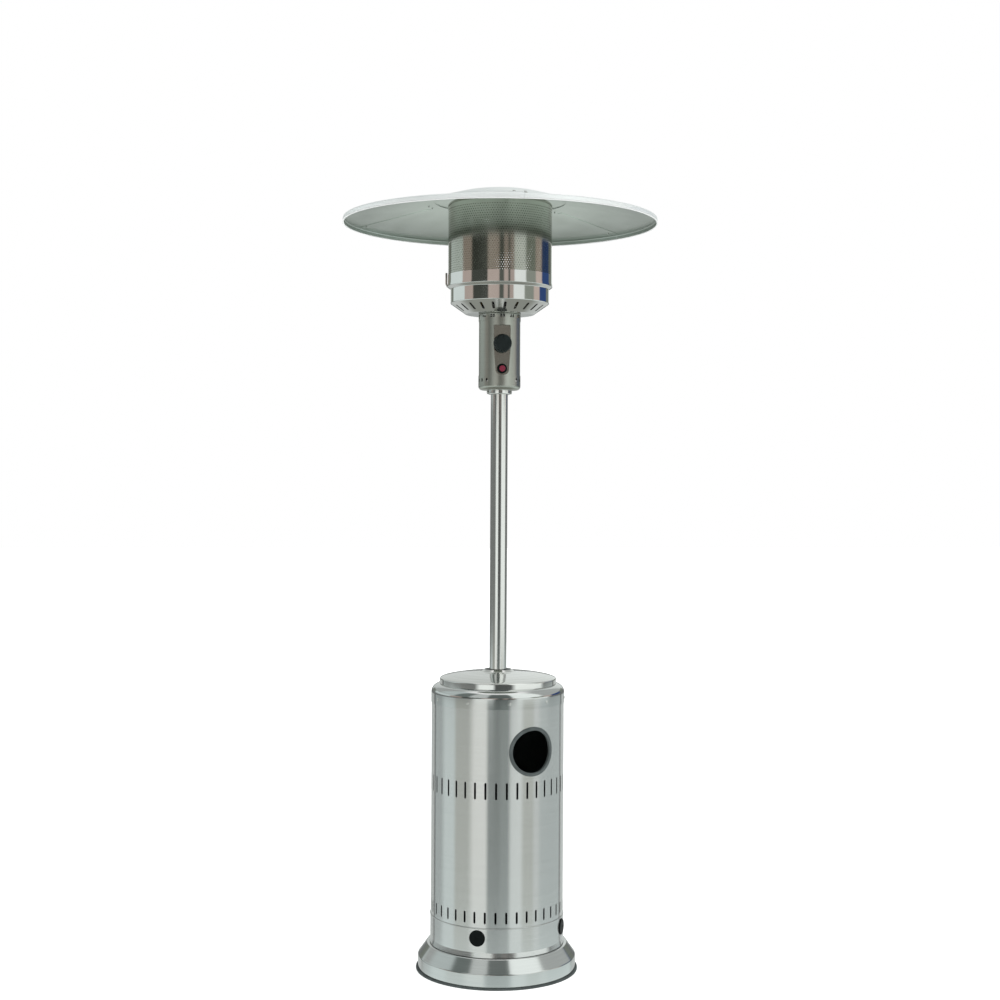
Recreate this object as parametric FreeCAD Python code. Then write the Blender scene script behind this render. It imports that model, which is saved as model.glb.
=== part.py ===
import FreeCAD, Part
import math
import os

# Free-standing gas patio heater.
# Millimetres, +Z up, origin on the floor at the centre of the base, control panel facing -Y.
# Azimuths are degrees from the front (-Y) towards the right (+X).

ORIGIN = FreeCAD.Vector(0, 0, 0)
X_AXIS = FreeCAD.Vector(1, 0, 0)
Y_AXIS = FreeCAD.Vector(0, 1, 0)
Z_AXIS = FreeCAD.Vector(0, 0, 1)
TINY = 1e-6

# Clearances, and how far a cutting tool runs past the piece it cuts
fit = 0.1
running_fit = 0.05
sliding_gap = 0.4
overcut = 1.0

# Housing that hides the gas bottle
shell_radius = 186.5
shell_wall = 1.0
shell_height = 700.0
vent_pitch = 9.0
vents_each_side = 12
vent_width = 6.0
upper_vent_height = 46.0
upper_vent_rise = 454.0
lower_vent_height = 32.0
lower_vent_rise = 108.5
port_azimuth = 23.0
port_rise = 559.0
grommet_bore = 58.0
grommet_web = 4.0
grommet_lip = 5.5
grommet_flange = 3.2
collar_wall = 1.0
collar_height = 81.0
collar_bead = 1.3
collar_fillet = 4.0
foot_flare = 2.0
foot_lift = 1.0
foot_break = 14.0
plug_count = 4
plug_azimuth = -24.5
plug_rise = 53.0
plug_radius = 22.4
plug_lip = 1.9
plug_crown = 3.2
plug_depth = 4.5
ring_wall = 1.2
ring_skirt = 24.0
ring_ledge = 14.0
shoulder_rise = 27.5
shoulder_fillet = 24.5
ring_screw_count = 10
ring_screw_azimuth = 2.0
ring_screw_drop = 9.0
ring_screw_radius = 2.0
ring_screw_head = 4.4
ring_screw_dome = 2.0
ring_screw_tail = 2.5
lid_wall = 1.2
lid_setback = 22.2
lid_batter = 0.3
lid_rim_height = 15.3
lid_rim_fillet = 4.0
lid_shoulder_width = 8.1
lid_shoulder_rise = 4.2
lid_shoulder_fillet = 40.0
lid_brim_width = 42.0
lid_brim_rise = 11.5
lid_brim_fillet = 250.0
lid_dome_rise = 17.7
lid_neck_width = 9.0
lid_neck_fillet = 10.0
lid_lip_rise = 6.5
lid_lip_margin = 15.0
guide_depth = 12.0
guide_recess = 0.5

# Base
deck_margin = 10.0
deck_z = 76.0
deck_fillet = 4.0
skirt_flare = 25.5
skirt_height = 41.0
skirt_wall = 1.2
skirt_seat = 2.5
skirt_fillet = 5.0
trim_overhang = 5.5
trim_width = 11.5
trim_height = 6.5
trim_edge = 2.5
trim_foot_edge = 1.2
plate_bottom = 8.0
plate_thickness = 3.0
ballast_radius = 150.0
ballast_bore = 40.0
base_bolt_circle = 135.0
base_bolt_radius = 4.0
base_hex = 13.0
base_head_height = 5.5
base_nut_height = 4.5

# Frame that carries the pole past the gas bottle
strut_clearance = 11.5
strut_width = 30.0
strut_thickness = 4.0
strut_azimuths = (75.0, -75.0, 180.0)
foot_length = 50.0
foot_height = 45.0
strut_bolt_radius = 3.0
strut_bolt_drop = 18.0
strut_hex = 10.0
strut_nut_height = 4.5
strut_head_radius = 5.4
strut_head_height = 3.6

# Pole and its sockets
pole_radius = 24.0
pole_wall = 1.5
pole_length = 898.0
bracket_rise = 14.0
bracket_thickness = 4.0
bracket_arm_width = 40.0
bracket_hub_margin = 17.0
socket_wall = 4.0
socket_depth = 60.0
socket_rise = 36.0
plug_flange = 6.0
plug_plunge = 8.0
feed_pipe_radius = 5.0
feed_pipe_wall = 1.0
inlet_hex = 17.0
inlet_hex_height = 12.0
inlet_thread_radius = 6.58
inlet_thread_length = 18.0
inlet_bore = 3.5
set_screw_radius = 3.0
set_screw_head = 5.0
set_screw_dome = 3.6
neck_wall = 7.9
neck_length = 12.0
neck_insertion = 7.0
neck_fillet = 3.0
neck_throat = 5.9
neck_flange = 4.0
neck_stop = 4.0

# Control housing
cup_radius = 59.3
cup_wall = 1.0
cup_height = 40.0
cup_fillet = 11.0
cup_vent_count = 16
cup_vent_start = 45.0
cup_vent_rise = 27.0
cup_vent_width = 6.0
cup_vent_height = 10.0
control_wall = 1.0
control_length = 180.0
control_overlap = 19.0
vent_collar_height = 20.0
vent_collar_overlap = 6.0
vent_collar_fillet = 2.0
vent_collar_ledge = 4.1
collar_pair_count = 13
collar_vent_width = 5.0
collar_vent_height = 9.0
collar_vent_gap = 2.5
panel_width = 49.0
panel_foot_width = 38.0
panel_foot_fillet = 16.0
panel_side_fillet = 60.0
panel_corner = 4.0
panel_depth = 6.7
panel_wall = 1.2
panel_foot_drop = 19.0
panel_waist_drop = 12.8
button_rise = 58.0
knob_rise = 128.0
panel_top_rise = 181.0

# Gas controls
knob_radius = 25.5
knob_length = 21.5
knob_standoff = 0.8
knob_skirt_height = 5.4
knob_skirt_fillet = 1.5
knob_grip_inset = 2.5
knob_grip_start = 9.7
knob_grip_fillet = 2.5
knob_dish_radius = 17.0
knob_dish = 1.2
knob_flute_count = 18
knob_flute_radius = 4.1
knob_flute_depth = 1.5
knob_mark_width = 2.0
knob_mark_depth = 1.6
knob_cap = 6.0
bush_radius = 9.0
bush_reach = 11.0
bush_room = 6.0
spindle_radius = 4.0
spindle_reach = 24.0
spindle_room = 8.0
valve_width = 36.0
valve_depth = 54.0
valve_height = 50.0
valve_setback = 8.0
valve_boss_wall = 6.0
bezel_wall = 4.8
bezel_height = 6.5
bezel_fillet = 2.5
button_radius = 8.6
button_proud = 3.5
button_fillet = 1.5
button_crown = 0.4
button_room = 6.0
button_stem_radius = 4.0
button_stem_length = 9.2
igniter_wall = 3.0
igniter_length = 34.0
igniter_stem_depth = 20.0
jet_hex = 14.0
jet_hex_height = 12.0
jet_tip_height = 12.0
jet_root_radius = 5.0
jet_tip_radius = 3.0
jet_bore = 0.8
tilt_switch_width = 24.0
tilt_switch_depth = 16.0
tilt_switch_height = 34.0

# Burner
pan_floor_radius = 96.0
pan_radius = 138.8
pan_cone_rise = 30.0
pan_drum_height = 40.0
pan_flare = 9.0
pan_flare_rise = 6.5
pan_rim_height = 6.5
pan_wall = 1.0
pan_fillet = 3.0
pan_rim_fillet = 2.0
pan_hole_radius = 30.0
pan_slot_count = 23
pan_slot_azimuth = -1.0
pan_slot_length = 29.0
pan_slot_width = 7.5
mixer_radius = 16.0
mixer_wall = 1.5
mixer_length = 36.0
burner_flange = 3.0
burner_flange_width = 10.0
burner_margin = 11.2
burner_base_rise = 8.0
burner_height = 38.0
burner_wall = 1.5
burner_fillet = 5.0
burner_port_count = 24
burner_port_radius = 2.5
burner_port_rise = 23.0
pilot_gap = 5.0
pilot_radius = 2.5
pilot_rise = 42.0
thermocouple_radius = 1.6
electrode_radius = 3.0
electrode_drop = 10.0
lead_radius = 1.5
lead_setback = 8.0
lead_drop = 30.0
lead_bend = 4.0
tube_bend = 8.0

# Emitter
emitter_band_height = 32.0
emitter_height = 236.0
emitter_wall = 0.8
emitter_lap = 12.0
emitter_edge = 10.0
screen_hole_rows = 9
screen_hole_count = 44
screen_hole_radius = 4.0
screen_hole_pitch = 19.0
screen_hole_rise = 13.0
lug_azimuth = -97.0
lug_width = 18.0
lug_height = 42.0
lug_depth = 5.5
lug_drop = 3.0
lug_chamfer = 11.0
lug_fillet = 2.0

# Reflector
reflector_radius = 441.5
reflector_wall = 1.0
reflector_slope = 0.19
reflector_lip = 14.0
reflector_fillet = 4.0
reflector_bead = 1.8
petal_inner_radius = 184.0
petal_lift = 36.0
petal_gap = 0.4
seam_lap = 2.2
seam_margin = 2.0
seam_setback = 12.0
seam_screw_setback = 25.5
crown_lap = 32.0
crown_step_width = 4.0
crown_step_fillet = 6.0
crown_rise_width = 12.0
crown_rise = 6.5
crown_rise_fillet = 20.0
crown_flat_radius = 112.0
crown_flat_fillet = 25.0
crown_lift = 26.0
crown_screw_setback = 9.0
crown_screw_offsets = (2.2, 11.0)
reflector_screw_radius = 2.0
reflector_screw_head = 4.2
reflector_screw_dome = 2.4
reflector_screw_length = 4.5
standoff_circle = 75.0
standoff_azimuth = 60.0
standoff_radius = 5.0
stud_radius = 3.0
stud_length = 4.0
nut_hex = 10.0
nut_height = 4.2
nut_dome_radius = 4.6
nut_dome = 2.4
nut_dome_fillet = 2.0

# Radii that follow from the sizes above
shell_bore = shell_radius - shell_wall
ring_radius = shell_radius + fit + ring_wall
collar_radius = shell_radius + fit + collar_wall
foot_radius = collar_radius + foot_flare
port_hole_radius = grommet_bore + grommet_web
grommet_radius = port_hole_radius + grommet_lip
plug_hole_radius = plug_radius - plug_lip
lid_foot_radius = shell_radius - lid_setback
lid_rim_radius = lid_foot_radius - lid_batter
ring_inner_radius = lid_foot_radius - ring_ledge
lid_lip_radius = pole_radius + lid_lip_margin
lid_neck_radius = lid_lip_radius + lid_neck_width
lid_lip_bore = lid_lip_radius - lid_wall * lid_lip_rise / math.hypot(lid_neck_width, lid_lip_rise)
guide_bore = pole_radius + sliding_gap
guide_radius = lid_lip_bore - fit
deck_radius = shell_radius + deck_margin
skirt_radius = deck_radius + skirt_flare
trim_radius = skirt_radius + trim_overhang
trim_bore = trim_radius - trim_width
strut_outer = shell_bore - strut_clearance
strut_inner = strut_outer - strut_thickness
socket_bore = pole_radius + fit
socket_radius = socket_bore + socket_wall
neck_radius = socket_bore + neck_wall
throat_radius = socket_bore + neck_throat
cup_hole_radius = throat_radius + fit
control_radius = cup_radius - cup_wall - fit
control_bore = control_radius - control_wall
panel_y = control_radius - panel_depth
panel_back_y = panel_y - panel_wall
knob_back_y = control_radius + knob_standoff
knob_grip_radius = knob_radius - knob_grip_inset
bezel_bore = button_radius + sliding_gap
burner_radius = control_bore - burner_margin
burner_flange_radius = pan_hole_radius + burner_flange_width
pilot_circle = burner_radius + pilot_gap
pan_rim_radius = pan_radius + pan_flare
emitter_radius = pan_rim_radius - pan_wall - fit
screen_radius = emitter_radius - emitter_wall - fit
crown_radius = petal_inner_radius + crown_lap
crown_step_radius = petal_inner_radius + crown_step_width
crown_screw_circle = crown_radius - crown_screw_setback
seam_screw_circle = reflector_radius - seam_screw_setback
reflector_tilt = math.atan(reflector_slope)
reflector_rise = reflector_wall / math.cos(reflector_tilt)

# Heights that follow from the sizes above
shell_top = deck_z + shell_height
collar_top = deck_z + collar_height
plug_z = deck_z + plug_rise
port_z = deck_z + port_rise
ring_top = shell_top + shoulder_rise
ring_screw_z = shell_top - ring_screw_drop
lid_rim_z = ring_top + lid_rim_height
lid_neck_z = lid_rim_z + lid_dome_rise
lid_lip_z = lid_neck_z + lid_lip_rise
bracket_z = shell_top + bracket_rise
bracket_top = bracket_z + bracket_thickness
socket_bottom = bracket_z - socket_depth
socket_screw_z = bracket_z - socket_depth / 2
pole_bottom = socket_bottom + plug_plunge
pole_top = pole_bottom + pole_length
inlet_top = socket_bottom - plug_flange
cup_z = pole_top - neck_insertion
cup_vent_z = cup_z + cup_vent_rise
neck_bottom = cup_z - neck_length
neck_screw_z = neck_bottom + neck_length / 2
control_bottom = cup_z + control_overlap
control_top = control_bottom + control_length
button_z = cup_z + button_rise
knob_z = cup_z + knob_rise
panel_top = cup_z + panel_top_rise
panel_foot = button_z - panel_foot_drop
panel_waist = knob_z - panel_waist_drop
valve_top = knob_z + valve_height / 2
valve_bottom = knob_z - valve_height / 2
pan_z = control_top - vent_collar_overlap + vent_collar_height
pan_floor_z = pan_z + pan_wall
burner_z = pan_floor_z + burner_flange
pan_cone_z = pan_z + pan_cone_rise
pan_drum_z = pan_cone_z + pan_drum_height
pan_flare_z = pan_drum_z + pan_flare_rise
pan_rim_z = pan_flare_z + pan_rim_height
emitter_z = pan_flare_z + pan_wall
emitter_band_z = emitter_z + emitter_band_height
emitter_top_z = emitter_z + emitter_height
crown_top_z = emitter_top_z + crown_lift


# Drawing helpers

def rounded_edges(places, fillets, closed):
    """Straight edges through the places, with tangent arcs where a fillet is given."""
    count = len(places)
    corners = []
    for index, place in enumerate(places):
        is_end = not closed and index in (0, count - 1)
        if is_end or fillets[index] <= TINY:
            corners.append((place, None, place))
            continue
        before = (places[index - 1] - place).normalize()
        after = (places[(index + 1) % count] - place).normalize()
        half_angle = before.getAngle(after) / 2
        reach = fillets[index] / math.tan(half_angle)
        bisector = (before + after).normalize()
        centre = place + bisector * (fillets[index] / math.sin(half_angle))
        middle = centre - bisector * fillets[index]
        corners.append((place + before * reach, middle, place + after * reach))
    edges = []
    for index, (start, middle, stop) in enumerate(corners):
        if middle is not None:
            edges.append(Part.Arc(start, middle, stop).toShape())
        if not closed and index == count - 1:
            break
        following = corners[(index + 1) % count][0]
        if stop.distanceToPoint(following) > TINY:
            edges.append(Part.LineSegment(stop, following).toShape())
    return edges


def section(corners):
    """Flat face in the XZ plane from (r, z) or (r, z, fillet) corners."""
    places = [FreeCAD.Vector(corner[0], 0, corner[1]) for corner in corners]
    fillets = [corner[2] if len(corner) > 2 else 0.0 for corner in corners]
    return Part.Face(Part.Wire(rounded_edges(places, fillets, True)))


def sheet_corners(path, wall):
    """Closed corners of a sheet: the path, and its copy one wall to the left."""
    count = len(path)
    shifted = []
    for index, corner in enumerate(path):
        here = (corner[0], corner[1])
        fillet = corner[2] if len(corner) > 2 else 0.0
        directions = []
        if index > 0:
            directions.append((here[0] - path[index - 1][0], here[1] - path[index - 1][1]))
        if index < count - 1:
            directions.append((path[index + 1][0] - here[0], path[index + 1][1] - here[1]))
        normals = [(-dz / math.hypot(dr, dz), dr / math.hypot(dr, dz)) for dr, dz in directions]
        first, last = normals[0], normals[-1]
        share = wall / (1 + first[0] * last[0] + first[1] * last[1])
        move = ((first[0] + last[0]) * share, (first[1] + last[1]) * share)
        turn = first[0] * last[1] - first[1] * last[0]
        if fillet > TINY:
            fillet = max(fillet - wall, 0.0) if turn > 0 else fillet + wall
        shifted.append((here[0] + move[0], here[1] + move[1], fillet))
    return list(path) + shifted[::-1]


def spun(corners):
    return section(corners).revolve(ORIGIN, Z_AXIS, 360)


def spun_sheet(path, wall):
    return spun(sheet_corners(path, wall))


def spun_sector(corners, azimuth, sweep):
    """Revolved piece from one azimuth, over a sweep; the section lies at azimuth 90."""
    face = section(corners).rotated(ORIGIN, Z_AXIS, azimuth - 90)
    return face.revolve(ORIGIN, Z_AXIS, sweep)


def ring(outer, inner, bottom, top):
    return spun([(inner, bottom), (outer, bottom), (outer, top), (inner, top)])


def turned(shape, azimuth):
    return shape.rotated(ORIGIN, Z_AXIS, azimuth)


def around(shape, azimuths):
    return [turned(shape, azimuth) for azimuth in azimuths]


def pitches(count, start=0.0):
    return [start + index * 360.0 / count for index in range(count)]


def group(solids):
    return Part.makeCompound(solids)


def facing_front(shape, radius, height):
    """A piece drawn with its axis up, turned to face -Y and set at a radius and a height."""
    return shape.rotated(ORIGIN, X_AXIS, 90).translated(FreeCAD.Vector(0, -radius, height))


def front_rod(radius, outer, inner, height):
    """Cylinder along Y from the outer to the inner radius, on the front side."""
    return Part.makeCylinder(radius, outer - inner, FreeCAD.Vector(0, -outer, height), Y_AXIS)


def front_slot(width, height, outer, inner, middle):
    """Upright slot with round ends, cut through the front."""
    reach = (height - width) / 2
    start = FreeCAD.Vector(-width / 2, -outer, middle - reach)
    body = Part.makeBox(width, outer - inner, 2 * reach, start)
    ends = [front_rod(width / 2, outer, inner, middle + side * reach) for side in (-1, 1)]
    return body.multiFuse(ends)


def front_box(width, outer, inner, bottom, top):
    """Box centred on the front, between two radii."""
    start = FreeCAD.Vector(-width / 2, -outer, bottom)
    return Part.makeBox(width, outer - inner, top - bottom, start)


def upright_rod(radius, bottom, top, place=(0.0, 0.0)):
    return Part.makeCylinder(radius, top - bottom, FreeCAD.Vector(place[0], place[1], bottom), Z_AXIS)


def hexagon(across_flats, bottom, height):
    """Upright six-sided prism on the axis."""
    reach = across_flats / math.sqrt(3)
    corners = []
    for index in range(7):
        angle = math.radians(60 * index)
        corners.append(FreeCAD.Vector(reach * math.cos(angle), reach * math.sin(angle), bottom))
    return Part.Face(Part.makePolygon(corners)).extrude(Z_AXIS * height)


def hexagon_nut(across_flats, bore, bottom, height):
    nut = hexagon(across_flats, bottom, height)
    return nut.cut(upright_rod(bore, bottom - overcut, bottom + height + overcut))


def bent_rod(places, bend, radius):
    """Round bar along straight runs joined by bends."""
    fillets = [bend] * len(places)
    spine = Part.Wire(rounded_edges(places, fillets, False))
    heading = places[1] - places[0]
    outline = Part.Wire(Part.makeCircle(radius, places[0], heading))
    return spine.makePipeShell([outline], True, False)


def domed_screw(head_radius, head_height, shank_radius, shank_length):
    """Screw with a rounded head, drawn upright with its seat at zero."""
    corners = [
        (0, -shank_length),
        (shank_radius, -shank_length),
        (shank_radius, 0),
        (head_radius, 0),
        (head_radius, head_height, head_height * 0.8),
        (0, head_height),
    ]
    return spun(corners)


def polar_place(radius, azimuth):
    angle = math.radians(azimuth)
    return (radius * math.sin(angle), -radius * math.cos(angle))


# Base

def make_base_trim():
    groove_outer = skirt_radius + fit
    groove_inner = skirt_radius - skirt_wall - fit
    corners = [
        (trim_bore, 0),
        (trim_radius, 0, trim_foot_edge),
        (trim_radius, trim_height, trim_edge),
        (groove_outer, trim_height),
        (groove_outer, skirt_seat),
        (groove_inner, skirt_seat),
        (groove_inner, trim_height),
        (trim_bore, trim_height),
    ]
    return spun(corners)


def base_bolt_holes():
    place = (0, -base_bolt_circle)
    rod = upright_rod(base_bolt_radius + fit, 0, deck_z + 2 * strut_thickness, place)
    return around(rod, strut_azimuths)


def make_base_shell():
    path = [
        (skirt_radius, skirt_seat),
        (skirt_radius, skirt_height, skirt_fillet),
        (deck_radius, deck_z, deck_fillet),
        (0, deck_z),
    ]
    return spun_sheet(path, skirt_wall).cut(group(base_bolt_holes()))


def make_base_plate():
    plate = upright_rod(trim_bore - fit, plate_bottom, plate_bottom + plate_thickness)
    return plate.cut(group(base_bolt_holes()))


def make_ballast_block():
    block = ring(ballast_radius, ballast_bore, plate_bottom + plate_thickness, deck_z - skirt_wall)
    return block.cut(group(base_bolt_holes()))


def make_base_bolts():
    seat = deck_z + strut_thickness
    shank = upright_rod(base_bolt_radius, plate_bottom - base_nut_height, seat)
    bolt = shank.fuse(hexagon(base_hex, seat, base_head_height))
    bolt = bolt.translated(FreeCAD.Vector(0, -base_bolt_circle, 0))
    return group(around(bolt, strut_azimuths))


def make_base_nuts():
    bottom = plate_bottom - base_nut_height
    nut = hexagon_nut(base_hex, base_bolt_radius + running_fit, bottom, base_nut_height)
    nut = nut.translated(FreeCAD.Vector(0, -base_bolt_circle, 0))
    return group(around(nut, strut_azimuths))


# Frame

def strut_bolt_heights():
    return (deck_z + foot_height - strut_bolt_drop, bracket_z - foot_height + strut_bolt_drop)


def strut_holes():
    """Bolt holes through struts, feet and bracket tabs, on the front side."""
    outer = strut_outer + overcut
    inner = strut_inner - strut_thickness - overcut
    return [front_rod(strut_bolt_radius + fit, outer, inner, z) for z in strut_bolt_heights()]


def make_strut(azimuth):
    bar = front_box(strut_width, strut_outer, strut_inner, deck_z, bracket_top)
    return turned(bar.cut(group(strut_holes())), azimuth)


def make_strut_feet():
    sole = front_box(strut_width, strut_inner, strut_inner - foot_length, deck_z, deck_z + strut_thickness)
    upright = front_box(strut_width, strut_inner, strut_inner - strut_thickness, deck_z, deck_z + foot_height)
    hole = upright_rod(base_bolt_radius + fit, 0, deck_z + foot_height, (0, -base_bolt_circle))
    foot = sole.fuse(upright).cut(group(strut_holes() + [hole])).removeSplitter()
    return group(around(foot, strut_azimuths))


def make_strut_bolts():
    length = 2 * strut_thickness + strut_nut_height
    bolt = domed_screw(strut_head_radius, strut_head_height, strut_bolt_radius, length)
    bolts = []
    for height in strut_bolt_heights():
        bolts += around(facing_front(bolt, strut_outer, height), strut_azimuths)
    return group(bolts)


def make_strut_nuts():
    nut = hexagon_nut(strut_hex, strut_bolt_radius + running_fit, -strut_nut_height, strut_nut_height)
    nuts = []
    for height in strut_bolt_heights():
        nuts += around(facing_front(nut, strut_inner - strut_thickness, height), strut_azimuths)
    return group(nuts)


def set_screw_holes(height, outer):
    rod = front_rod(set_screw_radius + fit, outer + overcut, pole_radius, height)
    return group(around(rod, (90, -90)))


def make_post_bracket():
    arm = front_box(bracket_arm_width, strut_inner, 0, bracket_z, bracket_top)
    tab_inner = strut_inner - strut_thickness
    tab = front_box(strut_width, strut_inner, tab_inner, bracket_z - foot_height, bracket_top)
    arm = arm.fuse(tab).cut(group(strut_holes()))
    hub = upright_rod(socket_radius + bracket_hub_margin, bracket_z, bracket_top)
    socket_top = bracket_z + socket_rise
    socket = upright_rod(socket_radius, socket_bottom, socket_top)
    body = hub.multiFuse(around(arm, strut_azimuths) + [socket])
    body = body.cut(upright_rod(socket_bore, socket_bottom - overcut, socket_top + overcut))
    return body.cut(set_screw_holes(socket_screw_z, socket_radius)).removeSplitter()


def make_socket_plug():
    bore = feed_pipe_radius + fit
    corners = [
        (bore, inlet_top),
        (socket_radius, inlet_top),
        (socket_radius, socket_bottom),
        (pole_radius, socket_bottom),
        (pole_radius, pole_bottom),
        (bore, pole_bottom),
    ]
    return spun(corners)


def make_gas_inlet_fitting():
    hex_bottom = inlet_top - inlet_hex_height
    thread_bottom = hex_bottom - inlet_thread_length
    body = hexagon(inlet_hex, hex_bottom, inlet_hex_height)
    body = body.fuse(upright_rod(inlet_thread_radius, thread_bottom, hex_bottom))
    return body.cut(upright_rod(inlet_bore, thread_bottom - overcut, inlet_top + overcut))


def make_gas_feed_pipe():
    return ring(feed_pipe_radius, feed_pipe_radius - feed_pipe_wall, inlet_top, valve_bottom)


def make_pole():
    return ring(pole_radius, pole_radius - pole_wall, pole_bottom, pole_top)


def make_set_screws():
    screws = []
    for height, seat in ((socket_screw_z, socket_radius), (neck_screw_z, neck_radius)):
        length = seat - pole_radius - running_fit
        screw = domed_screw(set_screw_head, set_screw_dome, set_screw_radius, length)
        screws += around(facing_front(screw, seat, height), (90, -90))
    return group(screws)


# Housing

def plug_holes():
    hole = front_rod(plug_hole_radius, collar_radius + overcut, shell_bore - plug_depth, plug_z)
    return around(hole, pitches(plug_count, plug_azimuth))


def ring_screw_holes():
    hole = front_rod(ring_screw_radius + fit, ring_radius + overcut, shell_bore - overcut, ring_screw_z)
    return around(hole, pitches(ring_screw_count, ring_screw_azimuth))


def make_tank_shell():
    shell = ring(shell_radius, shell_bore, deck_z, shell_top)
    past = shell_radius + overcut
    inside = shell_bore - overcut
    tools = plug_holes() + ring_screw_holes()
    azimuths = [step * vent_pitch for step in range(-vents_each_side, vents_each_side + 1)]
    for height, rise in ((upper_vent_height, upper_vent_rise), (lower_vent_height, lower_vent_rise)):
        slot = front_slot(vent_width, height, past, inside, deck_z + rise)
        tools += around(slot, azimuths)
    port = front_rod(port_hole_radius, past, 0, port_z)
    tools.append(turned(port, port_azimuth))
    return shell.cut(group(tools))


def make_shell_collar():
    path = [
        (foot_radius, deck_z + foot_lift),
        (collar_radius, deck_z + foot_break, collar_fillet),
        (collar_radius, collar_top),
    ]
    body = spun_sheet(path, collar_wall)
    bead_inner = collar_radius - collar_wall / 2
    bead_outer = collar_radius + collar_bead
    bead_bottom = collar_top - 2 * collar_bead
    edge = [
        (bead_inner, bead_bottom),
        (collar_radius, bead_bottom),
        (bead_outer, collar_top - collar_bead, collar_bead / 2),
        (bead_outer, collar_top, collar_bead / 2),
        (bead_inner, collar_top),
    ]
    return body.fuse(spun(edge)).cut(group(plug_holes())).removeSplitter()


def make_band_plugs():
    seat = collar_radius + fit
    stem = front_rod(plug_hole_radius - fit, seat + plug_crown / 2, seat - plug_depth, plug_z)
    dome = [
        (0, -plug_depth),
        (plug_radius, -plug_depth),
        (plug_radius, plug_crown, plug_crown),
        (0, plug_crown),
    ]
    head = facing_front(spun(dome), seat, plug_z)
    head = head.cut(upright_rod(seat, deck_z, shell_top))
    return group(around(stem.fuse(head), pitches(plug_count, plug_azimuth)))


def make_port_grommet():
    far = shell_radius + grommet_flange
    near = shell_bore - grommet_flange
    bottom = port_z - grommet_radius - overcut
    top = port_z + grommet_radius + overcut
    disc = front_rod(grommet_radius, far + overcut, 0, port_z)
    web = front_rod(port_hole_radius - fit, far + overcut, 0, port_z)
    opening = front_rod(grommet_bore, far + 2 * overcut, 0, port_z)
    outside = ring(far, shell_radius + fit, bottom, top)
    inside = ring(shell_bore - fit, near, bottom, top)
    middle = ring(far, near, bottom, top)
    body = disc.common(outside).multiFuse([disc.common(inside), web.common(middle)]).cut(opening)
    front_half = front_box(2 * far, far + overcut, 0, bottom, top)
    return turned(body.common(front_half).removeSplitter(), port_azimuth)


def make_housing_top_ring():
    path = [
        (ring_radius, shell_top - ring_skirt),
        (ring_radius, ring_top, shoulder_fillet),
        (ring_inner_radius, ring_top),
    ]
    return spun_sheet(path, ring_wall).cut(group(ring_screw_holes()))


def make_ring_screws():
    length = ring_wall + fit + shell_wall + ring_screw_tail
    screw = domed_screw(ring_screw_head, ring_screw_dome, ring_screw_radius, length)
    screw = facing_front(screw, ring_radius, ring_screw_z)
    return group(around(screw, pitches(ring_screw_count, ring_screw_azimuth)))


def make_housing_lid():
    path = [
        (lid_foot_radius, ring_top),
        (lid_rim_radius, lid_rim_z, lid_rim_fillet),
        (lid_rim_radius - lid_shoulder_width, lid_rim_z + lid_shoulder_rise, lid_shoulder_fillet),
        (lid_rim_radius - lid_brim_width, lid_rim_z + lid_brim_rise, lid_brim_fillet),
        (lid_neck_radius, lid_neck_z, lid_neck_fillet),
        (lid_lip_radius, lid_lip_z),
    ]
    below = upright_rod(lid_foot_radius + overcut, ring_top - overcut, ring_top)
    return spun_sheet(path, lid_wall).cut(below)


def make_guide_bush():
    return ring(guide_radius, guide_bore, lid_lip_z - guide_depth, lid_lip_z - guide_recess)


# Control housing

def make_head_socket():
    floor = cup_z + cup_wall
    flange_radius = cup_radius - cup_fillet - cup_wall
    corners = [
        (socket_bore, neck_bottom),
        (neck_radius, neck_bottom, neck_fillet),
        (neck_radius, cup_z),
        (throat_radius, cup_z),
        (throat_radius, floor),
        (flange_radius, floor),
        (flange_radius, floor + neck_flange),
        (throat_radius, floor + neck_flange),
        (throat_radius, pole_top + neck_stop),
        (pole_radius - neck_stop, pole_top + neck_stop),
        (pole_radius - neck_stop, pole_top),
        (socket_bore, pole_top),
    ]
    return spun(corners).cut(set_screw_holes(neck_screw_z, neck_radius))


def cup_vents():
    """Vents round the sides and back of the cup; the front stays plain."""
    step = (360.0 - 2 * cup_vent_start) / (cup_vent_count - 1)
    azimuths = [cup_vent_start + index * step for index in range(cup_vent_count)]
    outer = cup_radius + overcut
    slot = front_slot(cup_vent_width, cup_vent_height, outer, control_bore - overcut, cup_vent_z)
    return around(slot, azimuths)


def make_control_cup():
    path = [
        (cup_hole_radius, cup_z),
        (cup_radius, cup_z, cup_fillet),
        (cup_radius, cup_z + cup_height),
    ]
    return spun_sheet(path, cup_wall).cut(group(cup_vents()))


def keyhole(inset):
    """Outline of the recessed panel: round at the button, wider at the knob."""
    half_top = panel_width / 2 - inset
    half_foot = panel_foot_width / 2 - inset
    foot_fillet = panel_foot_fillet - inset
    corners = [
        (half_foot, panel_foot + inset, foot_fillet),
        (half_top, panel_waist, panel_side_fillet),
        (half_top, panel_top - inset, panel_corner),
        (-half_top, panel_top - inset, panel_corner),
        (-half_top, panel_waist, panel_side_fillet),
        (-half_foot, panel_foot + inset, foot_fillet),
    ]
    return section(corners)


def front_prism(face, outer, inner):
    """The XZ face, pushed along Y between two distances on the front side."""
    return face.translated(FreeCAD.Vector(0, -outer, 0)).extrude(Y_AXIS * (outer - inner))


def make_control_tube():
    body = ring(control_radius, control_bore, control_bottom, control_top)
    opening = front_prism(keyhole(0), control_radius + overcut, 0)
    return body.cut(group([opening] + cup_vents()))


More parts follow.
